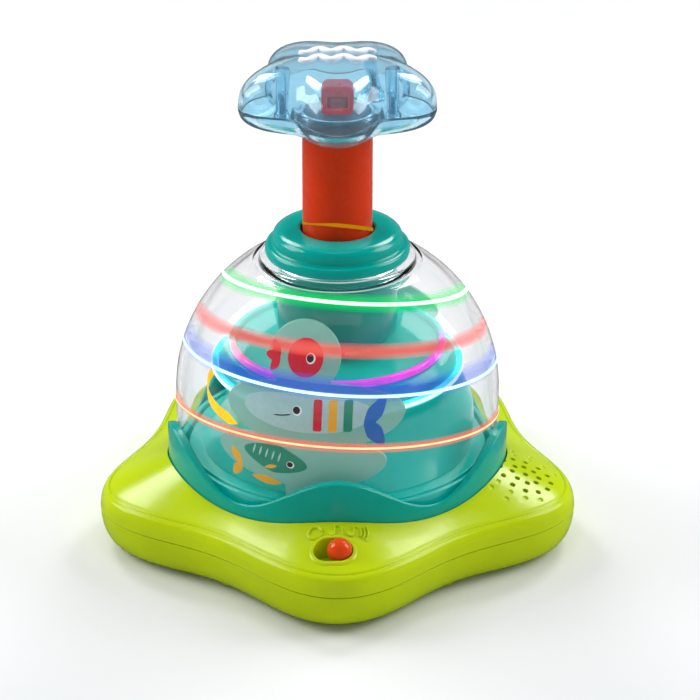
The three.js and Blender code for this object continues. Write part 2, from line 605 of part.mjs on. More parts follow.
add('thrust_washer', pipe(6.8, 13.4, 69.3, 70.4, 16), STEEL);

// ---------------------------------------------------------------- carousel
// The lower slope of the hill swells outward into three ridges, one of them on the right-hand side.
const ridge = (r, swell) => (a) => r + swell * (0.5 + 0.5 * Math.cos(3 * a)) ** 1.5;
const hill = [[66.3, HILL_LOW], [ridge(61, 7.5), 54], [ridge(55, 13), 65], [ridge(52.8, 11.7), 73.5],
  [ridge(54.6, 7.4), 79.6], [58.8, 84.4], [58.8, 88.5], [53.6, 95.4], [49.9, 95.6], [49.9, 97.2], [19.5, 97.2]];
{
  const inner = [[19.5, 94.9], [49.2, 94.9], [56.6, 86.6], [ridge(50.4, 9.5), 76], [ridge(52.6, 12.5), 65],
    [63.7, HILL_LOW]];
  const steps = 48;
  let shell = revolve([...hill, ...inner], steps);
  const shrunk = hill.slice(0, 3).map(([r, z]) => [(a) => value(r, a) - 1, z]);
  const core = revolve([[0, HILL_LOW], ...shrunk, [0, 65]], steps);
  HILL_SCREW_AT.forEach((at, i) => {
    const [x, y] = polar(HILL_SCREW_R, at);
    shell = shell.add(disc(x, y, 3.2, HILL_LOW, 66, 8).intersect(core)).subtract(disc(x, y, 1.5, 44, 54, 6));
    screw(`carousel_screw_${i + 1}`, x, y, 41.5, 42.8, 2.4, 53, 1.15);
  });
  add('carousel_hill', shell, TEAL);

  let floor = revolve([[12.3, 40.7], [14.6, 40.7], [14.6, FLOOR_Z], [FLOOR_R, FLOOR_Z],
    [FLOOR_R, FLOOR_Z + FLOOR_T], [12.3, FLOOR_Z + FLOOR_T]], 32);
  for (let i = 0; i < 6; i++) {                         // windows that pass and block the lamps
    const [x, y] = polar(LAMP_CIRCLE, 60 * i);
    floor = floor.subtract(disc(x, y, 5, 40, 50, 8));
  }
  for (const at of HILL_SCREW_AT) {
    const [x, y] = polar(HILL_SCREW_R, at);
    floor = floor.subtract(disc(x, y, 1.6, 40, 50, 6));
  }
  add('carousel_floor', floor, TEAL);

  const teeth = Array.from({ length: 2 * TEETH }, (_, i) =>
    polar(i % 2 ? 20.3 : 18.3, ((i >> 1) * 360) / TEETH + (i % 2 ? 16 : 14)));
  add('ratchet_ring', prism(circle(0, 0, 22.6, 24), 45.35, 51.2, { holes: [teeth] }), WHITE);

  add('light_ring_lower', revolve([[59.2, 84.8], [61, 84.8], [61.8, 86.6], [61, 88.4],
    [59.2, 88.4]], 32), GLOW);
  add('light_ring_upper', revolve([[50.3, 96], [52.8, 96], [53.2, 97.2], [52, 98.3],
    [50.3, 98.3]], 32), GLOW);
}

// Picture panels, back to back: three overlapping ovals cut out of a curved sheet, each standing on the floor.
{
  const sheet = [];
  for (let i = 0; i <= 6; i++) {
    const t = rad(-22 + 12.3 * i);
    sheet.push([PANEL_OUT * Math.cos(t), DOME_Z + PANEL_OUT * Math.sin(t)]);
  }
  for (let i = 6; i >= 0; i--) {
    const t = rad(-22 + 12.3 * i);
    sheet.push([PANEL_IN * Math.cos(t), DOME_Z + PANEL_IN * Math.sin(t)]);
  }
  const curved = revolve(sheet, 30);
  const ovals = [[-5.6, 114.5, 17.5, 14], [0, 90, 42.5, 15.5], [-6, 66.5, 41, 14]];
  PANEL_AT.forEach((at, i) => {
    const face = turned(at + 90).multiply(new THREE.Matrix4().makeRotationX(Math.PI / 2));
    const cutter = joined(prism(block(-13, 13, FLOOR_Z + FLOOR_T + GAP, 60), 20, 90, { matrix: face }),
      ...ovals.map(([x, z, rx, rz]) => prism(oval(x, z, rx, rz, 16), 20, 90, { matrix: face })));
    add(`picture_panel_${i + 1}`, curved.intersect(cutter), FROST);
  });
}

// ---------------------------------------------------------------- lamps under the carousel floor
add('lamp_board', pipe(30, 46, DECK_Z + 0.3, DECK_Z + 1.5, 20), BOARD);
LAMP_AT.forEach(([at, color], i) => {
  const [x, y] = polar(LAMP_CIRCLE, at);
  const z = DECK_Z + 1.8;
  const lens = [[0, z], [2.7, z], [2.7, z + 0.5], [2.2, z + 0.6], [1.4, z + 1.7], [0, z + 2.05]];
  add(`lamp_${i + 1}`, revolve(lens, 8, [x, y, 0]), paint(color, 0.2));
});

export default toy;
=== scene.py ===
"""Looks of the press-and-spin dome toy.

Every formula below is in millimetres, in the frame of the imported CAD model: +Z up along the spin axis,
the front lobe towards -Y, the floor at Z = 0. Meshes are scaled to metres as they are made.
"""
import json
import math

import bmesh
import bpy
from mathutils import Matrix, Vector


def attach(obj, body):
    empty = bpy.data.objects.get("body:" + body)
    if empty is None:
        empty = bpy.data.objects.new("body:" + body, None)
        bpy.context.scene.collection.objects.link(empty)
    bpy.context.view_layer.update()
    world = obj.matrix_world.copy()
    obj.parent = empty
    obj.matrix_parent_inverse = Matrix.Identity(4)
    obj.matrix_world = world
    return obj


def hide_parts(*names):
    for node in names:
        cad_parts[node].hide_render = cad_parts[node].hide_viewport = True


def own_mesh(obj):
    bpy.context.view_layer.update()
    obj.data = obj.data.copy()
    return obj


MM = 0.001
TAU = 2 * math.pi

# ---------------- driving dimensions, as in the CAD
GAP = 0.35
LOBES = 5
FRONT = -math.pi / 2
LOBE_MEAN = 104.5
LOBE_DEEP = 10.4
LOBE_BLUNT = 0.64
EDGE_Z = 31.2
TOP_SLOPE = 0.37
SIDE_OUT = 6.3
PART_Z = 20.6
WALL = 2.5

CUP_MEAN = 84.05
CUP_SWING = 1.5
RIM_MEAN = 51.5
RIM_SWING = 10.2
DECK_Z = 38.8
DECK_T = 2.4

DOME_R = 80.2
DOME_Z = 72.3
DOME_WALL = 2.4
NECK_R = 31.2
NECK_TOP = 144.2
COLLAR_TOP = 158.2
GUIDE_R = 29.5
GUIDE_Z = 102.7
GUIDE_TOP = 152.1

TUBE_R = 17.0
TUBE_WALL = 2.0
TUBE_LOW = 118
TUBE_TOP = 216.5
SPRING_R = 12.2
SPRING_LOW = 71.8
SPRING_HIGH = 211.6
SPRING_TURNS = 9
SPRING_WIRE = 0.8

HANDLE_MEAN = 42.6
HANDLE_SWING = 6.5
HANDLE_SEAM = 224.1
HANDLE_TOP = 247
HANDLE_LOW = 213.2
HANDLE_WALL = 2.2
BOSS_R = 27
BOSS_AT = (54, 198, 342)

FLOOR_Z = 43
FLOOR_T = 2
FLOOR_R = 72.8
PANEL_IN = 72.2
PANEL_OUT = 73.8
PANEL_AT = (260, 80)
PANEL_OVALS = ((-5.6, 114.5, 17.5, 14.0), (0.0, 90.0, 42.5, 15.5), (-6.0, 66.5, 41.0, 14.0))
PANEL_FOOT = 13
PANEL_FOOT_TOP = 60

SCREW_CIRCLE = 88
CELL_PITCH = 15.2
CELL_L = 50
CELL_Y = 44

SWITCH_X = -2
SWITCH_Y = -102.7
SWITCH_TRAVEL = 6
SLOT_L = 18.6
SLOT_W = 13.3
KNOB_R = 6
KNOB_Z = 35.7
SKIRT_FROM = -1.5       # depth below the face at which the skirt of the slot's rim begins
SKIRT_FOOT = 28.3       # height of that skirt's lower edge, just above the sliding plate
SPEAKER_AT = 342
SPEAKER_R = 97.6

TRAIL_R = 80.45         # paths of light lie close over the outside of the dome
TUBE_SLANT = 25         # tilt of the path of light round the tube, in degrees

CORNER_STEPS = 4        # pieces in each rounded corner of a profile
LOBE_BUNCH = 0.055      # draws the steps together at the lobe tips
KNOB_BUNCH = 0.045      # the same for the knob

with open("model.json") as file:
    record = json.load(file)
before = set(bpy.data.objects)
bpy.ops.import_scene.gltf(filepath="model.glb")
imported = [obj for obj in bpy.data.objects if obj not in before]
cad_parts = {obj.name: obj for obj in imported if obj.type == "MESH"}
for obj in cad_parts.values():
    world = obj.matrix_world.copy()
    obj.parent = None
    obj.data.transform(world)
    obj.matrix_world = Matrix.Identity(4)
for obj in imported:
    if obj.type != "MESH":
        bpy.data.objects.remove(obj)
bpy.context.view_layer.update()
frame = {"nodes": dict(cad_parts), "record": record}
SLOT_OF = {part["node"]: part["material_slot"] for part in frame["record"]["subparts"]}


# ---------------- mesh helpers
def value(v, a):
    """A number, or a function of the angle round the axis."""
    return v(a) if callable(v) else v


def wave(a, k=1):
    return math.cos(k * LOBES * (a - FRONT))


def polar(r, degrees):
    a = math.radians(degrees)
    return r * math.cos(a), r * math.sin(a)


def rounded_run(points, closed):
    """The run of (u, v, cut) points with each corner turned into a short curve, cut long on each side."""
    run = []
    last = len(points) - 1
    for i, (u, v, cut) in enumerate(points):
        if cut == 0 or (not closed and i in (0, last)):
            run.append((u, v))
            continue
        ends = []
        for other in (points[i - 1], points[(i + 1) % len(points)]):
            length = math.hypot(other[0] - u, other[1] - v)
            share = min(cut, 0.46 * length) / max(length, 1e-9)
            ends.append((u + share * (other[0] - u), v + share * (other[1] - v)))
        (u0, v0), (u1, v1) = ends
        for k in range(CORNER_STEPS + 1):
            t = k / CORNER_STEPS
            s = 1 - t
            run.append((s * s * u0 + 2 * s * t * u + t * t * u1, s * s * v0 + 2 * s * t * v + t * t * v1))
    return run


def make(name, points, faces, sharp=38):
    """A smooth-shaded mesh object from points in millimetres."""
    mesh = bpy.data.meshes.new(name)
    mesh.from_pydata([[c * MM for c in p] for p in points], [], faces)
    shell = bmesh.new()
    shell.from_mesh(mesh)
    bmesh.ops.recalc_face_normals(shell, faces=shell.faces)
    shell.to_mesh(mesh)
    shell.free()
    obj = bpy.data.objects.new(name, mesh)
    bpy.context.scene.collection.objects.link(obj)
    smooth(obj, sharp)
    return obj


def smooth(obj, sharp=38):
    obj.data.shade_smooth()
    obj.data.set_sharp_from_angle(angle=math.radians(sharp))


def grid(name, rows, wrap_rows=True, cap=False, sharp=38):
    """A mesh over rows of points, each row a closed loop; the first and last row can be capped."""
    n = len(rows[0])
    points = [p for row in rows for p in row]
    faces = []
    for i in range(len(rows) if wrap_rows else len(rows) - 1):
        for j in range(n):
            k = (j + 1) % n
            low, high = i * n, ((i + 1) % len(rows)) * n
            faces.append((low + j, low + k, high + k, high + j))
    if cap:
        faces.append(tuple(range(n)))
        faces.append(tuple(range(len(points) - n, len(points))))
    return make(name, points, faces, sharp)


def revolve(name, profile, steps=120, at=(0, 0), bunch=0.0):
    """Turns a profile of (r, z, corner cut) round Z. It closes on itself, or runs from axis to axis."""
    to_axis = profile[0][0] == 0
    rows = []
    for i in range(steps):
        even = FRONT + TAU * i / steps
        a = even - bunch * math.sin(LOBES * (even - FRONT))
        run = rounded_run([(value(r, a), value(z, a), cut) for r, z, cut in profile], not to_axis)
        if to_axis:
            poles = (run[0], run[-1])
            run = run[1:-1]
        rows.append([(at[0] + r * math.cos(a), at[1] + r * math.sin(a), z) for r, z in run])
    if not to_axis:
        return grid(name, rows)
    n = len(rows[0])
    points = [p for row in rows for p in row]
    low_pole, high_pole = len(points), len(points) + 1
    points += [(at[0], at[1], poles[0][1]), (at[0], at[1], poles[1][1])]
    faces = []
    for i in range(steps):
        here, there = i * n, ((i + 1) % steps) * n
        faces += [(here + j, there + j, there + j + 1, here + j + 1) for j in range(n - 1)]
        faces.append((low_pole, there, here))
        faces.append((high_pole, here + n - 1, there + n - 1))
    return make(name, points, faces)


def ring(name, inner, outer, low, high, cuts, steps=160):
    """A ring of rectangular section; cuts go round its corners, from the lower inner one outwards."""
    corners = ((inner, low), (outer, low), (outer, high), (inner, high))
    return revolve(name, [(r, z, cut) for (r, z), cut in zip(corners, cuts)], steps)


def plate(name, outline, low, high, bevel=0.0, warp=None):
    """A prism over a plan outline, its upper edge bevelled, each corner then moved by warp."""
    n = len(outline)
    shell = bmesh.new()
    foot = [shell.verts.new((x, y, low)) for x, y in outline]
    head = [shell.verts.new((x, y, high)) for x, y in outline]
    shell.faces.new(foot[::-1])
    top = shell.faces.new(head)
    for i in range(n):
        shell.faces.new((foot[i], foot[(i + 1) % n], head[(i + 1) % n], head[i]))
    if bevel:
        bmesh.ops.bevel(shell, geom=list(top.edges), offset=bevel, segments=3, profile=0.5,
                        affect="EDGES", clamp_overlap=True)
    shell.verts.index_update()
    points = [warp(*v.co) if warp else tuple(v.co) for v in shell.verts]
    faces = [tuple(v.index for v in f.verts) for f in shell.faces]
    shell.free()
    return make(name, points, faces)


def oval(x, y, rx, ry, n=40):
    return [(x + rx * math.cos(TAU * i / n), y + ry * math.sin(TAU * i / n)) for i in range(n)]


def circle(x, y, r, n=48):
    return oval(x, y, r, r, n)


def rounded_box(x0, x1, y0, y1, r, n=8):
    points = []
    corners = ((x1 - r, y1 - r), (x0 + r, y1 - r), (x0 + r, y0 + r), (x1 - r, y0 + r))
    for quarter, (cx, cy) in enumerate(corners):
        for i in range(n + 1):
            dx, dy = polar(r, 90 * quarter + 90 * i / n)
            points.append((cx + dx, cy + dy))
    return points


def merged(name, pieces):
    """The pieces joined into one mesh object."""
    target = pieces[0]
    shell = bmesh.new()
    for piece in pieces:
        piece.data.transform(piece.matrix_world)
        piece.matrix_world = Matrix.Identity(4)
        shell.from_mesh(piece.data)
    mesh = bpy.data.meshes.new(name)
    shell.to_mesh(mesh)
    shell.free()
    for piece in pieces[1:]:
        bpy.data.objects.remove(piece)
    target.data = mesh
    target.name = name
    smooth(target)
    return target


def carve(obj, tools, operation="DIFFERENCE"):
    """Cuts the tools out of obj, or adds them to it, and keeps the result as its mesh."""
    tool = merged(obj.name + "_tool", tools)
    modifier = obj.modifiers.new("carve", "BOOLEAN")
    modifier.object = tool
    modifier.operation = operation
    modifier.solver = "EXACT"
    applied(obj)
    bpy.data.objects.remove(tool)
    smooth(obj)
    return obj


def soft_edges(obj, width, segments, angle=30):
    """Rounds the sharp edges; width is in millimetres."""
    bevel = obj.modifiers.new("soft edges", "BEVEL")
    bevel.width = width * MM
    bevel.segments = segments
    bevel.limit_method = "ANGLE"
    bevel.angle_limit = math.radians(angle)


def applied(obj):
    """Keeps what the modifiers make of the object as its mesh."""
    graph = bpy.context.evaluated_depsgraph_get()
    mesh = bpy.data.meshes.new_from_object(obj.evaluated_get(graph))
    obj.modifiers.clear()
    obj.data = mesh
    return obj


def even_shading(obj):
    modifier = obj.modifiers.new("face weighted normals", "WEIGHTED_NORMAL")
    modifier.keep_sharp = True
    return obj


def place(obj, body, material, *nodes, slot=None):
    """Gives a finished piece its material and its body, and hides the CAD nodes it stands for; the slot is
    looked up but not kept.
    """
    obj.data.materials.clear()
    obj.data.materials.append(material)
    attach(obj, body)
    slot or SLOT_OF[nodes[0]]
    if nodes:
        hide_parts(*nodes)
    return obj


# ---------------- material helpers
def srgb(r, g, b):
    """A colour read as 0 to 255 in sRGB, in linear light."""
    def linear(c):
        c /= 255
        return c / 12.92 if c <= 0.04045 else ((c + 0.055) / 1.055) ** 2.4
    return linear(r), linear(g), linear(b), 1.0


class Nodes:
    """Short calls for building the node tree of one material, or of the world."""

    def __init__(self, name, world=None):
        self.material = world or bpy.data.materials.new(name)
        self.material.use_nodes = True
        self.tree = self.material.node_tree
        self.tree.nodes.clear()
        self.place = self.add("ShaderNodeTexCoord").outputs["Object"]

    def feed(self, socket, source):
        """Links a socket to another, or gives it a plain value."""
        if isinstance(source, bpy.types.NodeSocket):
            self.tree.links.new(source, socket)
        else:
            socket.default_value = source

    def add(self, kind, inputs=None, **settings):
        node = self.tree.nodes.new(kind)
        for key, setting in settings.items():
            setattr(node, key, setting)
        for key, source in (inputs or {}).items():
            self.feed(node.inputs[key], source)
        return node

    def noise(self, scale, detail):
        inputs = {"Vector": self.place, "Scale": scale, "Detail": detail, "Roughness": 0.5}
        return self.add("ShaderNodeTexNoise", inputs).outputs["Fac"]

    def spread(self, source, low, high, start=0.3, end=0.7):
        inputs = {"Value": source, "From Min": start, "From Max": end, "To Min": low, "To Max": high}
        return self.add("ShaderNodeMapRange", inputs).outputs["Result"]

    def math(self, operation, first, second):
        return self.add("ShaderNodeMath", {0: first, 1: second}, operation=operation).outputs[0]

    def axes(self, vector):
        """The outputs X, Y and Z of a vector."""
        return self.add("ShaderNodeSeparateXYZ", {0: vector}).outputs

    def mix(self, factor, first, second):
        return self.add("ShaderNodeMix", {0: factor, 6: first, 7: second}, data_type="RGBA").outputs[2]

    def mottled(self, colour, scale, detail, by):
        """The colour, drifting slowly to a darker shade of itself."""
        return self.mix(self.spread(self.noise(scale, detail), 0.0, 1.0), shade(colour, by), colour)

    def ramp(self, factor, stops, interpolation="LINEAR"):
        node = self.add("ShaderNodeValToRGB", {"Fac": factor})
        ramp = node.color_ramp
        ramp.interpolation = interpolation
        while len(ramp.elements) < len(stops):
            ramp.elements.new(0.5)
        for element, (at, colour) in zip(ramp.elements, stops):
            element.position = at
            element.color = colour
        return node.outputs["Color"]

    def bump(self, height, distance):
        inputs = {"Height": height, "Distance": distance, "Strength": 1.0}
        return self.add("ShaderNodeBump", inputs).outputs["Normal"]

    def principled(self, **inputs):
        named = {key.replace("_", " "): source for key, source in inputs.items()}
        return self.add("ShaderNodeBsdfPrincipled", named)

    def finish(self, shader):
        self.add("ShaderNodeOutputMaterial", {"Surface": shader.outputs[0]})
        return self.material

    def surface(self, **inputs):
        """The finished material, with one principled surface."""
        return self.finish(self.principled(**inputs))


def shade(colour, by):
    return tuple(min(1.0, c * by) for c in colour[:3]) + (1.0,)


def moulded(name, colour, rough=0.22, coat=0.12, lit=None, shine=0.3):
    """Glossy moulded plastic: slow colour drift from the melt, a fine skin and uneven gloss."""
    n = Nodes(name)
    tint = n.mottled(colour, 22, 4, 0.86)
    gloss = n.spread(n.noise(160, 3), rough * 0.8, rough * 1.3)
    skin = n.bump(n.noise(1500, 2), 0.00006)
    # lit, where given, is a glow painted into the plastic: painted light, not a lamp.
    painted_glow_inputs = {"Emission_Color": lit, "Emission_Strength": 1.0} if lit else {}
    return n.surface(Base_Color=tint, Roughness=gloss, Normal=skin, Coat_Weight=coat, Coat_Roughness=0.05,
                     Specular_IOR_Level=shine, **painted_glow_inputs)


def clear(name, colour, rough=0.015, ior=1.3, body=0.0):
    """Polished clear plastic with real wall thickness. Shadows and bounced light pass straight through."""
    n = Nodes(name)
    tint = n.mottled(colour, 9, 2, 0.985)
    waviness = n.bump(n.noise(26, 1), 0.00003)
    glass = n.principled(Base_Color=tint, Roughness=rough, IOR=ior, Normal=waviness,
                         Transmission_Weight=1 - body)
    through = n.add("ShaderNodeBsdfTransparent", {"Color": shade(colour, 0.99)})
    path = n.add("ShaderNodeLightPath").outputs
    passing = n.math("MAXIMUM", path["Is Shadow Ray"], path["Is Diffuse Ray"])
    return n.finish(n.add("ShaderNodeMixShader", {0: passing, 1: glass.outputs[0], 2: through.outputs[0]}))


def metal(name, colour):
    n = Nodes(name)
    tint = n.mottled(colour, 300, 4, 0.8)
    gloss = n.spread(n.noise(800, 3), 0.196, 0.392)
    skin = n.bump(n.noise(2500, 2), 0.00002)
    return n.surface(Base_Color=tint, Metallic=1.0, Roughness=gloss, Normal=skin)


def glowing(name, stops, strength):
    """A lit light guide whose colour changes round the axis."""
    n = Nodes(name)
    plan = n.axes(n.place)
    angle = n.math("ARCTAN2", plan["X"], plan["Y"])
    tint = n.ramp(n.spread(angle, 0.0, 1.0, -math.pi, math.pi), stops)
    grain = n.spread(n.noise(120, 2), 0.85, 1.15)
    return n.surface(Base_Color=tint, Roughness=0.25, Emission_Color=tint,
                     Emission_Strength=n.math("MULTIPLY", grain, strength))


def beam(name, colour, strength, alpha=1.0, grain=90, by=0.85):
    """Coloured light without a surface of its own."""
    n = Nodes(name)
    return n.surface(Base_Color=(0.0, 0.0, 0.0, 1.0), Roughness=1.0, Specular_IOR_Level=0.0, Alpha=alpha,
                     Emission_Color=n.mottled(colour, grain, 2, by), Emission_Strength=strength)


def haze(name, colour, alpha, strength=1.25):
    """Coloured light that what is behind it shows through."""
    return beam(name, colour, strength, alpha, 70, 0.88)


def frosted(name, colour, alpha, lit):
    """Thin printed sheet that lets some of what is behind it show; lit is a glow painted onto it."""
    n = Nodes(name)
    tint = n.mottled(colour, 45, 4, 0.9)
    gloss = n.spread(n.noise(200, 3), 0.25, 0.45)
    return n.surface(Base_Color=tint, Roughness=gloss, Alpha=alpha, Specular_IOR_Level=0.2,
                     Emission_Color=lit, Emission_Strength=1.0)


def ink(name, colour):
    n = Nodes(name)
    # Each ink also glows faintly in its own colour: painted light over the print.
    return n.surface(Base_Color=n.mottled(colour, 400, 3, 0.88), Roughness=0.4, Specular_IOR_Level=0.2,
                     Emission_Color=colour, Emission_Strength=0.22)


def circuit(name, colour):
    n = Nodes(name)
    inputs = {"Vector": n.place, "Scale": 260, "Color1": colour, "Color2": shade(colour, 0.8),
              "Mortar": srgb(70, 150, 100)}
    return n.surface(Base_Color=n.add("ShaderNodeTexBrick", inputs).outputs["Color"], Roughness=0.45)


def cell_can(name):
    """Battery sleeve: a dark wrap with a lighter band towards one end."""
    n = Nodes(name)
    low, high = (CELL_Y - CELL_L / 2) * MM, (CELL_Y + CELL_L / 2) * MM
    along = n.spread(n.axes(n.place)["Y"], 0.0, 1.0, low, high)
    bands = [(0.0, srgb(60, 70, 80)), (0.66, srgb(60, 95, 125)), (0.7, srgb(196, 150, 80))]
    tint = n.ramp(along, bands, "CONSTANT")
    gloss = n.spread(n.noise(300, 3), 0.2, 0.4)
    return n.surface(Base_Color=tint, Roughness=gloss, Metallic=0.4)


LIME = moulded("lime_plastic", srgb(196, 219, 16), rough=0.15, shine=0.22)
# The sliding plate lies in the slot's shade; its glow is painted light that brightens it.
LIME_LIT = moulded("lime_plate_plastic_painted_glow", srgb(170, 196, 20), rough=0.3, lit=(0.03, 0.055, 0.002, 1.0))
TEAL = moulded("teal_plastic", srgb(0, 172, 158), rough=0.11)
# Teal with a glow painted into it, standing for the lamps' light falling inside the dome.
TEAL_LIT = moulded("teal_plastic_painted_lamp_glow", srgb(0, 190, 175), rough=0.2, lit=(0.0, 0.09, 0.08, 1.0))
ORANGE = moulded("orange_plastic", srgb(222, 56, 6), rough=0.24, coat=0.05, shine=0.16)
# A dark red that paints the shade inside the window of the tube's tab.
PAINTED_SHADE_RED = moulded("red_painted_shade", srgb(160, 26, 22), rough=0.4)
PLUG_GREY = moulded("plug_plastic", srgb(120, 132, 138), rough=0.3)
# The tab's red carries a painted glow that brightens it.
HEAD_RED = moulded("red_head_plastic_painted_glow", srgb(222, 40, 48), rough=0.3, lit=(0.36, 0.012, 0.02, 1.0))
RED_KNOB = moulded("knob_plastic", srgb(236, 74, 20), rough=0.12)
CLEAR = clear("clear_plastic", (0.94, 0.93, 0.945, 1.0))
CLEAR_BLUE = clear("clear_blue_plastic", (0.57, 0.80, 0.905, 1.0), rough=0.02, ior=1.42, body=0.05)
WHITE_PRINT = moulded("white_print", srgb(240, 240, 245), rough=0.35)
# The picture sheets carry a painted glow that brightens them.
SHEET = frosted("frosted_picture_sheet_painted_glow", srgb(140, 196, 180), 0.75, (0.06, 0.13, 0.11, 1.0))
ACETAL = moulded("white_acetal", srgb(236, 236, 228), rough=0.35, coat=0.0)
BLACK = moulded("black_plastic", srgb(30, 32, 34), rough=0.4, coat=0.0)
PAPER = moulded("paper_cone", srgb(60, 62, 66), rough=0.8, coat=0.0)
STEEL = metal("steel", srgb(190, 194, 198))
BOARD = circuit("board", srgb(28, 100, 62))
CELLS = cell_can("battery_can")
FINISHES = {
    "lime_plastic": LIME, "teal_plastic": TEAL, "orange_plastic": ORANGE, "clear_plastic": CLEAR,
    "blue_clear_plastic": CLEAR_BLUE, "white_print": WHITE_PRINT, "picture_sheet": SHEET,
    "white_acetal": ACETAL, "board": BOARD, "black_plastic": BLACK, "paper_cone": PAPER,
    "battery_can": CELLS, "steel": STEEL,
}
for lamp, lamp_colour in (("red", (255, 60, 45)), ("green", (50, 220, 90)), ("blue", (70, 130, 255))):
    FINISHES[f"lamp_{lamp}"] = glowing(f"lamp_{lamp}", [(at, srgb(*lamp_colour)) for at in (0.0, 1.0)], 1.5)


# ---------------- base outline
def edge(a):
    return LOBE_MEAN + LOBE_DEEP * wave(a) + LOBE_BLUNT * wave(a, 2)


def out(d):
    return lambda a: edge(a) + d


def cup(d=0.0):
    return lambda a: CUP_MEAN + CUP_SWING * wave(a) + d


def face_z(r, d=0.0):
    """Height of the sloping top face at radius r, or that plus d."""
    return lambda a: EDGE_Z + TOP_SLOPE * (edge(a) - value(r, a)) + d


def face_height(x, y):
    return face_z(math.hypot(x, y))(math.atan2(y, x))


def on_face(x, y, z):
    return x, y, face_height(x, y) + z


def across_face(share):
    """Radius part of the way from the dome opening to the edge of the top face."""
    return lambda a: cup(0.45)(a) + share * (edge(a) - 0.6 - cup(0.45)(a))


def drill(x, y, profile):
    """A turned tool standing square to the top face at (x, y)."""
    step = 0.5
    lean_x = (face_height(x + step, y) - face_height(x - step, y)) / (2 * step)
    lean_y = (face_height(x, y + step) - face_height(x, y - step)) / (2 * step)
    turn = Vector((0, 0, 1)).rotation_difference(Vector((-lean_x, -lean_y, 1))).to_matrix().to_4x4()
    tool = revolve("drill", profile, 24)
    tool.data.transform(Matrix.Translation(Vector((x, y, face_height(x, y))) * MM) @ turn)
    return tool


def speaker_spot(r, degrees):
    gx, gy = polar(SPEAKER_R, SPEAKER_AT)
    dx, dy = polar(r, SPEAKER_AT + degrees)
    return gx + dx, gy + dy


def stadium(offset):
    """Outline of the switch slot, grown by offset, as plan points."""
    half_l, half_w = SLOT_L / 2 + offset, SLOT_W / 2 + offset
    return rounded_box(SWITCH_X - half_l, SWITCH_X + half_l, SWITCH_Y - half_w, SWITCH_Y + half_w,
                       half_w - 0.01, 16)


def slot_rim():
    """Raised lip round the switch slot, with a skirt down inside."""
    section = [
        (0.0, -4.5, 0.1), (0.0, 0.8, 0.45), (1.5, 0.8, 0.5), (2.4, -0.1, 0.3), (2.4, -0.8, 0.1),
        (1.4, -0.8, 0.1), (1.4, -4.5, 0.1),
    ]
    columns = []
    for offset, z in rounded_run(section, True):
        foot = z < SKIRT_FROM
        columns.append([(x, y, SKIRT_FOOT) if foot else on_face(x, y, z) for x, y in stadium(offset)])
    return grid("slot_rim", columns)


def ribbon(name, centres, half_width, low, high, warp):
    """A band along plan points, crowned across, with round ends, laid on a surface by warp."""
    rows = []
    count = len(centres) - 1
    across = ((-1, 0), (-0.92, 0.7), (-0.6, 0.96), (0, 1), (0.6, 0.96), (0.92, 0.7), (1, 0))
    for i, (x, y) in enumerate(centres):
        x0, y0 = centres[max(i - 1, 0)]
        x1, y1 = centres[min(i + 1, count)]
        length = math.hypot(x1 - x0, y1 - y0)
        nx, ny = (y0 - y1) / length, (x1 - x0) / length
        to_end = min(i, count - i) * length / 2
        width = half_width * math.sqrt(max(0.04, 1 - max(0.0, 1 - to_end / half_width) ** 2))
        row = [warp(x + nx * u * width, y + ny * u * width, low + (high - low) * v) for u, v in across]
        rows.append(row)
    return grid(name, rows, wrap_rows=False, cap=True, sharp=60)


def arc(x, y, r, start, end, n=16):
    spots = (polar(r, start + (end - start) * i / n) for i in range(n + 1))
    return [(x + dx, y + dy) for dx, dy in spots]


def sound_marks():
    """Raised marks by the switch: a ring for off, a note with one bar and a note with three bars."""
    y = SWITCH_Y + 10.9

    def mark(centres, half_width):
        return ribbon("mark", centres, half_width, -0.5, 1.0, on_face)
    marks = [mark(arc(SWITCH_X - 8.8, y, 3.35, 0, 352, 40), 0.95)]
    for x, bars in ((SWITCH_X - 0.8, 1), (SWITCH_X + 8.2, 3)):
        head = oval(x, y - 1.6, 1.9, 1.4, 20)
        marks.append(plate("mark", head, -0.5, 1.0, 0.3, on_face))
        marks.append(mark([(x + 1.4, y - 1.6 + 0.5 * i) for i in range(11)], 0.6))
        marks.append(mark([(x + 1.4 + 0.4 * i, y + 3.2 - 0.02 * i * i) for i in range(6)], 0.6))
        marks += [mark(arc(x + 0.5, y, 4.6 + 1.7 * bar, -34, 34), 0.5) for bar in range(bars)]
    return marks


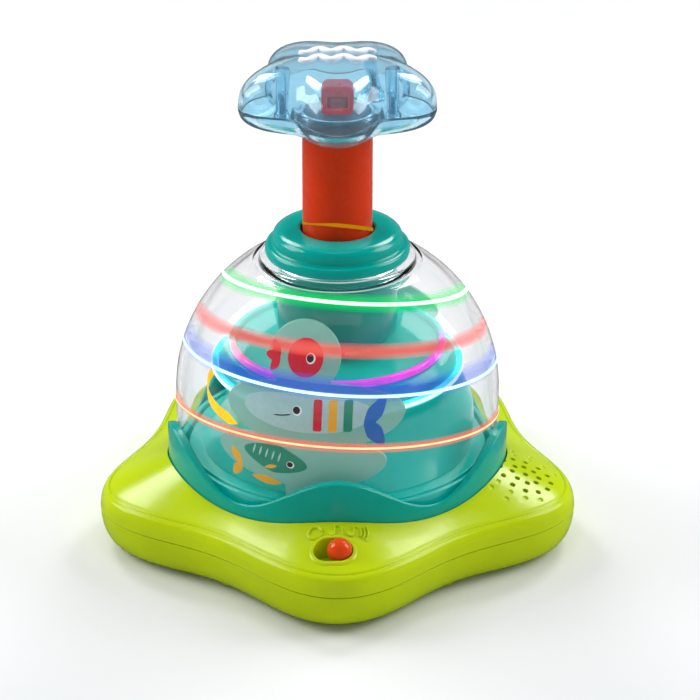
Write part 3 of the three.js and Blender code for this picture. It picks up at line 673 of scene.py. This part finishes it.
def base_top():
    hole, inner = cup(0.45), cup(2.85)
    profile = [
        (hole, 30, 0.3), (inner, 30, 0.3), (inner, face_z(inner, -WALL), 1.0), (out(-0.4), 28.4, 1.0),
        (out(3.6), 25, 1.0), (out(3.8), PART_Z + 0.3, 0.2), (out(SIDE_OUT), PART_Z + 0.3, 0.35),
        (out(5.7), 26, 2.6), (out(3.9), 29.4, 1.4), (out(1.9), 30.5, 0.35), (out(1.2), 29.95, 0.3),
        (out(0.5), 30.9, 0.5), (out(-0.9), face_z(out(-0.9)), 1.2),
    ]
    for share in (0.85, 0.7, 0.55, 0.4, 0.25, 0.12):
        profile.append((across_face(share), face_z(across_face(share)), 0))
    profile.append((hole, face_z(hole), 0.5))
    shell = revolve("base_top", profile, 400, bunch=LOBE_BUNCH)

    grille = [(0, 0, 1), (6.6, 22.5, 8), (12.6, 15, 12)]
    through = [(0, -9, 0), (1.3, -9, 0), (1.3, -0.25, 0.1), (1.62, 0.12, 0.1), (1.62, 2, 0), (0, 2, 0)]
    shallow = [
        (0, -0.75, 0), (0.8, -0.65, 0.4), (1.45, -0.05, 0.3), (1.75, 0.2, 0.1), (1.75, 2, 0), (0, 2, 0),
    ]
    tools = [plate("slot_tool", stadium(0.7), 20, 50)]
    for r, first, count in grille:
        tools += [drill(*speaker_spot(r, first + 360 * i / count), through) for i in range(count)]
    for r, at in ((17.6, 50), (17.6, 75), (17.6, 100), (17.6, 125), (23, 99), (23, 122)):
        tools += [drill(*speaker_spot(r, side * at), shallow) for side in (1, -1)]
    carve(shell, tools)
    shell = merged("star_base_top", [shell, slot_rim(), *sound_marks()])
    return place(even_shading(shell), "housing", LIME, "base_top_shell")


def base_bottom():
    profile = [
        (0, 0, 0), (out(-9), 0, 1.5), (out(-3.2), 1.1, 2.4), (out(1.2), 3.9, 2.4), (out(4), 8, 2.6),
        (out(5.8), 14, 3.0), (out(SIDE_OUT), PART_Z, 0.4), (out(3.9), PART_Z, 0.2), (out(2.6), 10, 2),
        (out(-8), WALL, 2), (0, WALL, 0),
    ]
    shell = revolve("star_base_bottom", profile, 300, bunch=LOBE_BUNCH)
    valleys = [polar(SCREW_CIRCLE, 90 + 72 * i) for i in range(LOBES)]
    carve(shell, [plate("boss", circle(x, y, 5, 32), 1.2, 5.8) for x, y in valleys], "UNION")
    bay_x = 1.5 * CELL_PITCH + 1.2
    door_low = CELL_Y - CELL_L / 2 - 1.2
    door_high = CELL_Y + CELL_L / 2 + 11.7
    tools = [plate("door_tool", rounded_box(-bay_x + 1, bay_x - 1, door_low, door_high, 3), -1, 5.3)]
    recess = [(0, -1, 0), (3.9, -1, 0), (3.4, 0.5, 0), (3.4, 3.8, 0), (1.9, 3.8, 0), (1.9, 7, 0), (0, 7, 0)]
    tools += [revolve("recess", recess, 32, spot) for spot in valleys]
    carve(shell, tools)
    return place(even_shading(shell), "housing", LIME, "base_bottom_shell")


def wave_cup():
    def rim(d):
        return lambda a: RIM_MEAN + RIM_SWING * wave(a) + d
    inside = DOME_R + 0.55
    body = revolve("wavy_cup", [
        (9.7, DECK_Z - DECK_T, 0.2), (78, DECK_Z - DECK_T, 0.5), (78, 30, 0.3), (cup(), 30, 0.3),
        (cup(), rim(0), 1.1), (inside, rim(0), 0.8), (inside, DECK_Z, 0.8), (9.7, DECK_Z, 0.2),
    ], 360, bunch=0.02)
    # A teal ring over the dark gap round the turntable; its glow is painted light where shade would fall.
    kerb = ring("turntable_kerb_painted_glow", 74.7, 77.3, DECK_Z + 0.1, 45.4, (0.2, 0.2, 1.0, 1.0))
    place(even_shading(kerb), "housing", TEAL_LIT, slot=SLOT_OF["wave_cup"])
    return place(even_shading(body), "housing", TEAL, "wave_cup")


# ---------------- dome, collar and guide
def dome_run(r, neck, n=24):
    """Profile points of a sphere, from its widest circle up to the radius of the neck."""
    top = math.acos(neck / r)
    return [(r * math.cos(top * i / n), DOME_Z + r * math.sin(top * i / n), 0) for i in range(n + 1)]


def dome():
    thin = DOME_R - DOME_WALL
    profile = [
        (thin, DECK_Z + GAP, 0.4), (DOME_R, DECK_Z + GAP, 0.4), *dome_run(DOME_R, 41.5),
        (38.6, 140.6, 1.0), (38.1, NECK_TOP, 1.1), (NECK_R, NECK_TOP, 0.4), (NECK_R, 139.2, 0.4),
        *reversed(dome_run(thin, 39.8)),
    ]
    place(revolve("clear_dome", profile, 180), "housing", CLEAR, "dome")
    # Thin rings of pale light on the rims of the neck are painted highlights.
    for name, r, z in (("inner", 35.9, NECK_TOP), ("outer", 39.3, 140.75)):
        line = ring(f"neck_line_{name}", r, r + 0.8, z, z + 0.25, (0, 0.1, 0.1, 0), 120)
        painted_rim_highlight = haze(f"neck_line_{name}", srgb(235, 242, 245), 0.4, 1.0)
        place(line, "housing", painted_rim_highlight, slot="clear_plastic")


def collar():
    low = NECK_TOP + 0.7
    body = revolve("bead_collar", [
        (27.6, low, 0.3), (35.35, low, 1.2), (35.35, 149.9, 2.6), (31.4, 150.5, 1.0),
        (31.8, 155.2, 3.6), (27.5, COLLAR_TOP, 4.0), (17.95, COLLAR_TOP, 1.6), (17.95, 152.5, 0.2),
        (27.6, 152.5, 0.2),
    ], 160)
    return place(even_shading(body), "housing", TEAL, "collar")


def guide():
    foot = GUIDE_Z + 2.4
    body = revolve("plunger_sleeve", [
        (17.5, GUIDE_Z, 0.3), (GUIDE_R, GUIDE_Z, 4.2), (GUIDE_R, 142.5, 0.2), (27.2, 142.5, 0.2),
        (27.2, GUIDE_TOP, 0.2), (25.2, GUIDE_TOP, 0.2), (25.2, foot, 0.1), (17.5, foot, 0.3),
    ], 120)
    ribs = []
    for at in (90, 210, 330):
        section = ((24.9, -2.8), (26.0, -2.7), (26.0, 2.7), (24.9, 2.8))
        outline = [polar(r, at + swing) for r, swing in section]
        ribs.append(plate("rib", outline, GUIDE_Z + 3, GUIDE_TOP - 0.4))
    return place(even_shading(merged("plunger_sleeve", [body, *ribs])), "housing", TEAL, "plunger_guide")


# ---------------- plunger
def tube():
    body = ring("orange_tube", TUBE_R - TUBE_WALL, TUBE_R, TUBE_LOW, TUBE_TOP, (0.4, 0.4, 0.4, 0.4), 96)
    return place(even_shading(body), "plunger", ORANGE, "plunger_tube")


def tube_head():
    """Plug in the top of the tube with an upright tab and its window."""
    plug = TUBE_R - TUBE_WALL - 0.3
    body = revolve("tube_plug", [
        (0, 212.8, 0), (plug, 212.8, 0.4), (plug, 216.9, 0.2), (16.8, 216.9, 0.2), (16.8, 218.6, 0.7),
        (0, 218.6, 0),
    ], 64)

    def upright(x, y, z):
        return x, -z, y
    tab = plate("plug_tab", rounded_box(-7.5, 7.5, 218, 232, 3), -5, 5, 0.0, upright)
    window = plate("window", rounded_box(-5, 5, 219.6, 227, 0.8), -8, 8, 0.0, upright)
    carve(tab, [window])
    # A dark red plate behind the window paints the shade inside it.
    painted_shade_plate = plate("tab_window_painted_shade", rounded_box(-4.9, 4.9, 219.7, 226.9, 0.7), -4.4, -2.6, 0.0, upright)
    place(painted_shade_plate, "plunger", PAINTED_SHADE_RED, slot="orange_plastic")
    soft_edges(tab, 0.7, 3)
    place(even_shading(applied(tab)), "plunger", HEAD_RED, "tube_head")
    place(even_shading(body), "plunger", PLUG_GREY, slot="orange_plastic")


def spring():
    """One coil, with a mesh of its own."""
    steps_in_turn = 40
    steps = SPRING_TURNS * steps_in_turn
    rows = []
    for i in range(steps + 1):
        t = i / steps
        a = TAU * SPRING_TURNS * t
        z = SPRING_LOW + (SPRING_HIGH - SPRING_LOW) * t
        row = []
        for k in range(10):
            b = TAU * k / 10
            r = SPRING_R + SPRING_WIRE * math.cos(b)
            row.append((r * math.cos(a), r * math.sin(a), z + SPRING_WIRE * math.sin(b)))
        rows.append(row)
    coil = grid("coil_spring", rows, wrap_rows=False, cap=True)
    place(coil, "housing", STEEL, "return_spring")
    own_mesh(coil)
    return coil


# ---------------- knob on the plunger
def knob_r(f, d=0.0):
    return lambda a: f * (HANDLE_MEAN + f * HANDLE_SWING * wave(a)) + d


KNOB_SKIN = [
    (0, HANDLE_TOP, 0), (knob_r(0.25), 246.7, 9), (knob_r(0.5), 245.5, 9), (knob_r(0.74), 242.7, 9),
    (knob_r(0.9), 238.2, 9), (knob_r(0.985), 232.4, 9), (knob_r(1.0), HANDLE_SEAM, 0.4),
]


def knob_height(x, y):
    """Height of the crown of the knob over a plan point."""
    a = math.atan2(y, x)
    r = math.hypot(x, y)
    run = rounded_run([(value(u, a), z, cut) for u, z, cut in KNOB_SKIN], False)
    for (r0, z0), (r1, z1) in zip(run, run[1:]):
        if r0 <= r <= r1:
            return z0 + (z1 - z0) * (r - r0) / max(r1 - r0, 1e-9)
    return HANDLE_SEAM


def knob_upper():
    wall = HANDLE_WALL
    lining = [
        (knob_r(1.0, -wall), HANDLE_SEAM, 0.4), (knob_r(0.985, -wall), 232.0, 9),
        (knob_r(0.9, -wall), 236.9, 9), (knob_r(0.74, -wall * 0.7), 240.8, 9),
        (knob_r(0.5, -wall * 0.5), 243.4, 9), (knob_r(0.25), 244.5, 9), (0, HANDLE_TOP - wall, 0),
    ]
    shell = revolve("knob_upper", KNOB_SKIN + lining, 240, bunch=KNOB_BUNCH)
    bosses = []
    for at in BOSS_AT:
        x, y = polar(BOSS_R, at)
        top = knob_height(x, y) - wall - 0.5
        bosses.append(revolve("boss", [
            (0, 231.5, 0), (1.6, 231.5, 0.2), (1.6, 221, 0.2), (3.4, 221, 0.4), (3.4, top, 0.5), (0, top, 0),
        ], 32, (x, y)))
    shell = merged("knob_upper_shell", [shell, *bosses])
    return place(shell, "plunger", CLEAR_BLUE, "handle_upper_shell")


def knob_lower():
    wall = HANDLE_WALL
    seam = HANDLE_SEAM - 0.3
    shell = revolve("knob_lower", [
        (TUBE_R + GAP, 213.6, 0.3), (knob_r(0.5), HANDLE_LOW, 2), (knob_r(0.74), 213.7, 9),
        (knob_r(0.89), 215.6, 9), (knob_r(0.975), 219.0, 9), (knob_r(1.0), seam, 0.4),
        (knob_r(1.0, -wall), seam, 0.4), (knob_r(0.95, -wall), 219.4, 9), (knob_r(0.84, -wall), 216.6, 9),
        (knob_r(0.7, -wall), 215.6, 9), (20.5, 215.4, 0.8), (TUBE_R + wall, 219.4, 0.4),
        (TUBE_R + GAP, 219.4, 0.4),
    ], 240, bunch=KNOB_BUNCH)
    boss = [
        (2.9, 216.9, 0.2), (2.9, 215.7, 0.2), (4.4, 215.7, 0.2), (4.4, 220.4, 0.5), (1.7, 220.4, 0.3),
        (1.7, 216.9, 0.2),
    ]
    bosses = [revolve("boss", boss, 32, polar(BOSS_R, at)) for at in BOSS_AT]
    shell = merged("knob_lower_shell", [shell, *bosses])
    return place(shell, "plunger", CLEAR_BLUE, "handle_lower_shell")


def crown_waves():
    """Two raised white wave marks on the crown."""
    reach, swell, length = 18.0, 2.1, 12.0
    for number, y in ((1, -5.4), (2, 5.4)):
        centres = []
        for i in range(73):
            x = -reach + 2 * reach * i / 72
            centres.append((x, y + swell * math.sin(TAU * x / length)))
        band = ribbon(f"white_wave_{number}", centres, 2.1, -0.1, 1.3,
                      lambda px, py, z: (px, py, knob_height(px, py) + z))
        place(band, "plunger", WHITE_PRINT, f"crown_wave_{number}")


# ---------------- carousel
def ridge(r, swell):
    """Radius on the lower slope of the hill, which swells outward into three ridges."""
    return lambda a: r + swell * (0.5 + 0.5 * math.cos(3 * a)) ** 1.5


def carousel():
    hill = [
        (66.3, 45.4, 0.3), (ridge(61, 7.5), 54, 4), (ridge(55, 13), 65, 4), (ridge(52.8, 11.7), 73.5, 3.5),
        (ridge(54.6, 7.4), 79.6, 2.5), (58.8, 84.4, 1.6),
        (58.8, 88.5, 1.2), (53.6, 95.4, 0.8), (49.9, 95.6, 0.2), (49.9, 97.2, 0.5), (19.5, 97.2, 0.4),
    ]
    lining = [(19.5, 94.9, 0.3), (49.2, 94.9, 1), (56.6, 86.6, 1), (ridge(50.4, 9.5), 76, 2),
              (ridge(52.6, 12.5), 65, 3), (63.7, 45.4, 0.2)]
    # The hill and the turntable below get the teal with a painted glow.
    place(even_shading(revolve("teal_hill", hill + lining, 180)), "carousel", TEAL_LIT, "carousel_hill")

    floor = revolve("teal_turntable", [
        (12.3, 40.7, 0.3), (14.6, 40.7, 0.3), (14.6, FLOOR_Z, 0.3), (FLOOR_R, FLOOR_Z, 0.4),
        (FLOOR_R, FLOOR_Z + FLOOR_T, 0.6), (12.3, FLOOR_Z + FLOOR_T, 0.3),
    ], 160)
    carve(floor, [plate("window", circle(*polar(38, 60 * i), 5), 40, 50) for i in range(6)])
    place(even_shading(floor), "carousel", TEAL_LIT, "carousel_floor")

    low_glow = glowing("lower_light_guide", [
        (0.0, srgb(30, 215, 235)), (0.2, srgb(20, 190, 250)), (0.28, srgb(60, 235, 240)),
        (0.5, srgb(20, 215, 215)), (0.8, srgb(40, 235, 235)), (1.0, srgb(30, 215, 235)),
    ], 1.0)
    high_glow = glowing("upper_light_guide", [
        (0.0, srgb(225, 70, 190)), (0.12, srgb(175, 30, 170)), (0.21, srgb(245, 110, 140)),
        (0.25, srgb(0, 165, 155)), (0.72, srgb(0, 165, 155)), (0.77, srgb(190, 5, 195)),
        (1.0, srgb(230, 60, 205)),
    ], 0.75)
    low_ring = ring("lower_glow_ring", 59.2, 61.9, 84.8, 88.4, (0.3, 1.2, 1.2, 0.3))
    place(low_ring, "carousel", low_glow, "light_ring_lower")
    line = ring("lower_glow_line", 61.8, 62.5, 86.2, 88.0, (0.2, 0.3, 0.3, 0.2))
    place(line, "carousel", beam("glow_line_white", srgb(225, 255, 255), 1.5), slot="white_acetal")
    high_ring = ring("upper_glow_ring", 50.3, 53.3, 96, 99.4, (0.2, 1.0, 1.2, 0.6))
    place(high_ring, "carousel", high_glow, "light_ring_upper")


def on_panel(degrees):
    """Maps flat picture coordinates and a height above the sheet onto a picture panel."""
    turn = math.radians(degrees + 90)

    def warp(x, z, above):
        r = PANEL_OUT + above
        y = -math.sqrt(max(r * r - x * x - (z - DOME_Z) ** 2, 0.0))
        return x * math.cos(turn) - y * math.sin(turn), x * math.sin(turn) + y * math.cos(turn), z
    return warp


def panel_sides(z):
    """Left and right edge of the picture panel at one height."""
    left, right = [], []
    for x, middle, half_w, half_h in PANEL_OVALS:
        reach = 1 - ((z - middle) / half_h) ** 2
        if reach > 0:
            left.append(x - half_w * math.sqrt(reach))
            right.append(x + half_w * math.sqrt(reach))
    if z < PANEL_FOOT_TOP:
        left.append(-PANEL_FOOT)
        right.append(PANEL_FOOT)
    return min(left), max(right)


def panel(number, degrees):
    heights = {FLOOR_Z + FLOOR_T + GAP, PANEL_FOOT_TOP - 0.1}
    for _, middle, _, half_h in PANEL_OVALS:
        heights |= {middle + 0.9995 * half_h * math.sin(math.pi * i / 48) for i in range(-24, 25)}
    heights = sorted(z for z in heights if z >= FLOOR_Z + FLOOR_T + GAP)
    warp = on_panel(degrees)
    thick = PANEL_OUT - PANEL_IN
    rows = []
    columns = 28
    for z in heights:
        left, right = panel_sides(z)
        steps = [left + (right - left) * i / columns for i in range(columns + 1)]
        front = [warp(x, z, 0) for x in steps]
        back = [warp(x, z, -thick) for x in reversed(steps)]
        rows.append(front + back)
    sheet = grid(f"picture_sheet_{number}", rows, wrap_rows=False, cap=True)
    return place(sheet, "carousel", SHEET, f"picture_panel_{number}")


def dense(outline, step=1.2):
    """The same closed outline with points at most one step apart."""
    run = []
    for (x0, y0), (x1, y1) in zip(outline, outline[1:] + outline[:1]):
        count = max(1, math.ceil(math.hypot(x1 - x0, y1 - y0) / step))
        run += [(x0 + (x1 - x0) * i / count, y0 + (y1 - y0) * i / count) for i in range(count)]
    return run


def blob(name, outline, centre, warp, above=0.12, rings=5):
    """A filled flat shape, star-shaped about its centre, laid on a panel as a thin layer of ink."""
    cx, cy = centre
    outline = dense(outline)
    n = len(outline)
    points = [warp(cx, cy, above)]
    for k in range(1, rings + 1):
        share = k / rings
        points += [warp(cx + (x - cx) * share, cy + (y - cy) * share, above) for x, y in outline]
    points += [warp(x, y, -0.2) for x, y in outline]
    faces = [(0, 1 + i, 1 + (i + 1) % n) for i in range(n)]
    for k in range(rings):
        low = 1 + k * n
        faces += [(low + i, low + n + i, low + n + (i + 1) % n, low + (i + 1) % n) for i in range(n)]
    faces.append(tuple(range(1 + rings * n, 1 + rings * n + n)))
    return make(name, points, faces)


INK_RED = ink("ink_red", srgb(208, 30, 52))
INK_GREEN = ink("ink_green", srgb(24, 140, 110))
INK_YELLOW = ink("ink_yellow", srgb(240, 176, 40))
INK_BLUE = ink("ink_blue", srgb(40, 110, 190))
INK_PALE = ink("ink_pale", srgb(166, 206, 202))
INK_BLACK = ink("ink_black", srgb(24, 26, 30))
INK_WHITE = ink("ink_white", srgb(246, 246, 244))


def eye(warp, x, z, r):
    pupil = circle(x - 0.12 * r, z + 0.08 * r, 0.76 * r, 20)
    return [
        (INK_WHITE, blob("eye", circle(x, z, r, 20), (x, z), warp, 0.2, 2)),
        (INK_BLACK, blob("pupil", pupil, (x, z), warp, 0.28, 2)),
    ]


def leaf(x, z, long, wide, turn):
    """Pointed oval outline turned by some degrees."""
    c, s = polar(1, turn)
    run = []
    for i in range(28):
        t = TAU * i / 28
        u, v = long * math.cos(t), wide * math.sin(t) * (1 - 0.35 * abs(math.cos(t)))
        run.append((x + u * c - v * s, z + u * s + v * c))
    return run


def leaf_of(colour, name, x, z, long, wide, turn, warp, above=0.12):
    return colour, blob(name, leaf(x, z, long, wide, turn), (x, z), warp, above)


def round_fish(warp, x, z, r):
    """Red fish with a round body, facing right, and a three-leaved tail on the left."""
    parts = [(INK_RED, blob("body", oval(x, z, r, 0.9 * r, 48), (x, z), warp))]
    for at in (125, 180, 235):
        dx, dz = polar(0.42 * r, at)
        tx, tz = x - 1.45 * r + dx, z - 0.1 * r + dz
        parts.append(leaf_of(INK_RED, "tail", tx, tz, 0.42 * r, 0.24 * r, at, warp))
    return parts + eye(warp, x + 0.3 * r, z + 0.02 * r, 0.26 * r)


def whale(warp, x, z, half):
    """Pale whale facing left, with three bands round its belly and a forked tail on the right."""
    turns = [math.pi * i / 30 for i in range(31)]
    back = [(x - half * math.cos(t), z + 0.3 * half * math.sin(t) ** 0.8) for t in turns]
    belly = [(x + half * math.cos(t), z - 0.28 * half * math.sin(t)) for t in turns[1:-1]]
    parts = [(INK_PALE, blob("body", back + belly, (x, z), warp, 0.1))]
    for k, colour in enumerate((INK_RED, INK_YELLOW, INK_GREEN)):
        sx = x + half * (0.18 + 0.23 * k)
        w, h = 0.066 * half, 0.24 * half
        band = rounded_box(sx - w, sx + w, z - h, z + h, 0.5 * w, 4)
        parts.append((colour, blob("band", band, (sx, z), warp, 0.18)))
    for side in (1, -1):
        tx, tz = x + 1.03 * half, z - 0.12 * half + side * 0.15 * half
        parts.append(leaf_of(INK_BLUE, "fluke", tx, tz, 0.26 * half, 0.12 * half, side * 58, warp, 0.16))
    mouth = [(x + half * (0.046 * i - 0.51), z + half * (0.0012 * i * i - 0.06)) for i in range(7)]
    parts.append((INK_BLACK, ribbon("mouth", mouth, 0.3, 0.0, 0.28, warp)))
    return parts + eye(warp, x - 0.14 * half, z + 0.05 * half, 0.075 * half)


def long_fish(warp, x, z, half):
    """Striped green fish facing right, with a yellow tail and fins."""
    parts = [leaf_of(INK_GREEN, "body", x, z, half, 0.5 * half, -8, warp)]
    for side in (1, -1):
        tx, tz = x - 1.26 * half, z - 0.5 * half + side * 0.24 * half
        parts.append(leaf_of(INK_YELLOW, "tail", tx, tz, 0.32 * half, 0.15 * half, -side * 62, warp))
    for fx, fz, size, turn, lift in ((-0.3, -0.84, 0.46, -4, 0.12), (-0.14, -0.3, 0.2, 18, 0.2)):
        fx, fz = x + fx * half, z + fz * half
        parts.append(leaf_of(INK_YELLOW, "fin", fx, fz, size * half, 0.34 * size * half, turn, warp, lift))
    for k in range(5):
        sx, sz = x - 0.66 * half + 0.2 * half * k, z + 0.2 * half - 0.03 * half * k
        parts.append(leaf_of(INK_PALE, "stripe", sx, sz, 0.17 * half, 0.03 * half, 74, warp, 0.2))
    return parts + eye(warp, x + 0.48 * half, z - 0.12 * half, 0.12 * half)


def prints(number, degrees):
    """Sea animals of plain, generic shapes printed on one panel, one object for each colour."""
    warp = on_panel(degrees)
    parts = round_fish(warp, -4.7, 115, 8.6) + whale(warp, -2.5, 91, 31) + long_fish(warp, -17.5, 66.5, 16)
    by_ink = {}
    for colour, piece in parts:
        by_ink.setdefault(colour.name, (colour, []))[1].append(piece)
    for name, (colour, pieces) in by_ink.items():
        layer = merged(f"print_{number}_{name}", pieces)
        place(layer, "carousel", colour, slot="picture_sheet")


# ---------------- trails of light
def turned(degrees, axis):
    return Matrix.Rotation(math.radians(degrees), 4, axis)


def trail_frame(tilt, turn):
    """A plane through the dome's centre, raised at the front by tilt and swung round by turn."""
    swing, lean = turned(turn, "Z"), turned(tilt, "Y")
    return Matrix.Translation((0, 0, DOME_Z)) @ swing @ lean @ swing.inverted()


def streak(name, height, half_width, start, end, r, thick, matrix, fade=16):
    """A thin ribbon of light on a sphere of radius r, which narrows to nothing over its last degrees."""
    rows = []
    count = 120
    for i in range(count + 1):
        at = start + (end - start) * i / count
        near = min(at - start, end - at) / fade
        width = half_width * max(0.04, math.sin(min(1.0, near) * math.pi / 2))
        row = []
        for face, across in ((0, (-1, -0.5, 0, 0.5, 1)), (thick, (1, 0.5, 0, -0.5, -1))):
            for u in across:
                tall = height + u * width
                reach = math.sqrt((r + face) ** 2 - tall ** 2)
                row.append(matrix @ Vector((*polar(reach, at), tall)))
        rows.append(row)
    return grid(name, rows, wrap_rows=False, cap=True, sharp=60)


def glow(name, height, half_width, material, matrix, start=-184, end=4):
    """A band with soft edges and ends: ribbons one over another, each narrower and shorter."""
    layers = []
    for k, (wide, cut) in enumerate(((1.3, 0), (1.0, 8), (0.7, 18), (0.4, 30))):
        r = TRAIL_R + 0.15 * k
        layers.append(streak(name, height, wide * half_width, start + cut, end - cut, r, 0.1, matrix))
    return place(merged(name, layers), "housing", material, slot="clear_plastic")


def core(name, height, half_width, material, matrix, start=-181, end=1, r=TRAIL_R + 0.7, fade=16,
         body="housing"):
    line = streak(name, height, half_width, start, end, r, 0.2, matrix, fade)
    return place(line, body, material, slot="clear_plastic")


def trails():
    """Paths that the spinning lamps draw: soft tinted bands and bright lines over the dome and the tube."""
    high, middle, low = trail_frame(13.4, 72.8), trail_frame(10.2, 71.7), trail_frame(7.7, 60)
    for name, height, half_width, colour, alpha, matrix in (
        ("green", 54.4, 2.8, srgb(20, 240, 110), 0.11, high),
        ("red", 37.9, 2.6, srgb(255, 110, 100), 0.13, middle),
        ("blue", 25.2, 4.2, srgb(70, 120, 255), 0.07, low),
        ("orange", -7.0, 1.9, srgb(255, 120, 90), 0.16, middle),
    ):
        glow(f"light_band_{name}", height, half_width, haze(f"band_{name}", colour, alpha), matrix)
    for name, height, half_width, colour, strength, matrix in (
        ("green", 54.4, 0.75, srgb(225, 255, 235), 1.6, high),
        ("white", 22.4, 0.7, srgb(205, 248, 255), 1.6, low),
        ("orange", -7.0, 0.5, srgb(255, 226, 170), 1.4, middle),
    ):
        core(f"light_core_{name}", height, half_width, beam(f"core_{name}", colour, strength), matrix)
    level = Matrix.Translation((0, 0, DOME_Z))
    yellow = beam("core_yellow", srgb(255, 200, 10), 1.4)
    core("light_core_yellow", 0.4, 3.0, yellow, level, 140, 222, 64.6, 8, "carousel")
    stretch = Matrix.Scale(1 / math.cos(math.radians(TUBE_SLANT)), 4, (0, 1, 0))
    across = Matrix.Translation((0, 0, 158.0)) @ turned(6, "Y") @ turned(-TUBE_SLANT, "X") @ stretch
    amber = beam("core_tube", srgb(215, 150, 10), 0.8)
    core("light_core_tube", 0.0, 0.9, amber, across, -176, -4, TUBE_R + 0.25)


def switch_knob():
    x = SWITCH_X + SWITCH_TRAVEL / 2
    y = SWITCH_Y + 0.3
    profile = [(0, 28.2, 0), (2.4, 28.2, 0.2), (2.4, KNOB_Z - 5.6, 0.6)]
    for i in range(22):
        r, z = polar(KNOB_R, -62 + 7 * i)
        profile.append((r, KNOB_Z + z, 0))
    profile.append((0, KNOB_Z + KNOB_R, 0))
    return place(revolve("slide_ball", profile, 48, (x, y)), "switch", RED_KNOB, "switch_knob")


# ---------------- CAD pieces that stay
def dress_cad():
    """Softens the edges of the CAD pieces that stay, and gives each its material."""
    for name, obj in frame["nodes"].items():
        if obj.hide_render:
            continue
        obj.data.materials.clear()
        # The sliding plate gets the lime with a painted glow.
        obj.data.materials.append(LIME_LIT if name == "switch_slider" else FINISHES[SLOT_OF[name]])
        obj.data.shade_smooth()
        soft_edges(obj, 0.25, 2, 40)
        even_shading(obj)


# ---------------- studio
def aimed(obj, target):
    direction = Vector(target) - obj.location
    obj.rotation_euler = direction.to_track_quat("-Z", "Y").to_euler()


def soft_light(name, location, target, width, height, power, mirrored=True):
    data = bpy.data.lights.new(name, "AREA")
    data.shape = "RECTANGLE"
    data.size = width
    data.size_y = height
    data.energy = power
    obj = bpy.data.objects.new(name, data)
    obj.location = location
    obj.visible_glossy = mirrored
    bpy.context.scene.collection.objects.link(obj)
    aimed(obj, target)


def seen_by_camera(n):
    """True for rays that come from the camera directly or through clear plastic."""
    path = n.add("ShaderNodeLightPath").outputs
    return n.math("MAXIMUM", path["Is Camera Ray"], path["Is Transmission Ray"])


def studio():
    """Pale floor, side boxes a little behind the toy, a soft box overhead and a weak one in front."""
    half = 6000
    corners = [(-half, -half, 0), (half, -half, 0), (half, half, 0), (-half, half, 0)]
    floor = make("studio_floor", corners, [(0, 1, 2, 3)])
    n = Nodes("pale_floor")
    path = n.add("ShaderNodeLightPath")
    bounced = n.mix(path.outputs["Is Glossy Ray"], (0.7, 0.7, 0.7, 1.0), (0.14, 0.14, 0.14, 1.0))
    lit = n.mix(seen_by_camera(n), bounced, (0.78, 0.785, 0.785, 1.0))
    tint = n.mix(n.spread(n.noise(3, 2), 0.0, 0.03), lit, (0.9, 0.9, 0.9, 1.0))
    floor.data.materials.append(n.surface(Base_Color=tint, Roughness=0.7, Specular_IOR_Level=0.1))
    floor.location.z = -0.05 * MM
    sky()
    aim = Vector((0, 0, 0.1))
    soft_light("left_box", aim + 1.2 * Vector((-0.84, 0.11, 0.55)), aim, 0.6, 0.8, 9.5)
    soft_light("right_box", aim + 1.2 * Vector((0.85, 0.11, 0.52)), aim, 0.6, 0.8, 8.5)
    for name, side in (("back_left_box", -1), ("back_right_box", 1)):
        soft_light(name, aim + 1.4 * Vector((0.44 * side, 0.58, 0.69)), aim, 0.36, 0.5, 6.5)
    soft_light("top_box", (0.0, -0.2, 2.2), aim, 1.2, 1.2, 8, mirrored=False)
    soft_light("front_fill", (0.0, -2.0, 0.7), aim, 1.2, 0.8, 3.6, mirrored=False)


def sky():
    """Pale at the horizon and dim overhead, so that glossy faces keep their depth."""
    world = bpy.data.worlds.new("studio_world")
    bpy.context.scene.world = world
    n = Nodes("sky", world)
    up = n.axes(n.add("ShaderNodeTexCoord").outputs["Generated"])["Z"]
    height = n.ramp(up, [(0.0, (0.5, 0.5, 0.51, 1.0)), (0.5, (0.16, 0.165, 0.17, 1.0))])
    mirrored = n.ramp(up, [(0.0, (0.3, 0.3, 0.31, 1.0)), (0.4, (0.05, 0.05, 0.055, 1.0))])
    around = n.mix(n.add("ShaderNodeLightPath").outputs["Is Glossy Ray"], height, mirrored)
    light = n.mix(seen_by_camera(n), around, (1.0, 1.0, 1.0, 1.0))
    background = n.add("ShaderNodeBackground", {"Color": light, "Strength": 1.0})
    n.add("ShaderNodeOutputWorld", {"Surface": background.outputs[0]})


def camera():
    """Three-quarter view from above the front lobe, with a long lens."""
    distance, elevation, aim_z = 1.4802, math.radians(25.1), 0.110
    data = bpy.data.cameras.new("camera")
    data.sensor_width = 36
    data.lens = 154.6
    data.shift_x = 0.0179
    data.shift_y = -0.0487
    obj = bpy.data.objects.new("camera", data)
    obj.location = (0, -distance * math.cos(elevation), aim_z + distance * math.sin(elevation))
    bpy.context.scene.collection.objects.link(obj)
    aimed(obj, (0, 0, aim_z))
    bpy.context.scene.camera = obj


# ---------------- the toy
for build in (base_top, base_bottom, wave_cup, dome, collar, guide, tube, tube_head, spring,
              knob_upper, knob_lower, crown_waves, carousel):
    build()
for panel_number, panel_at in enumerate(PANEL_AT, 1):
    panel(panel_number, panel_at)
    prints(panel_number, panel_at)
trails()
switch_knob()
dress_cad()
studio()
camera()
bpy.context.scene.view_settings.view_transform = "Standard"
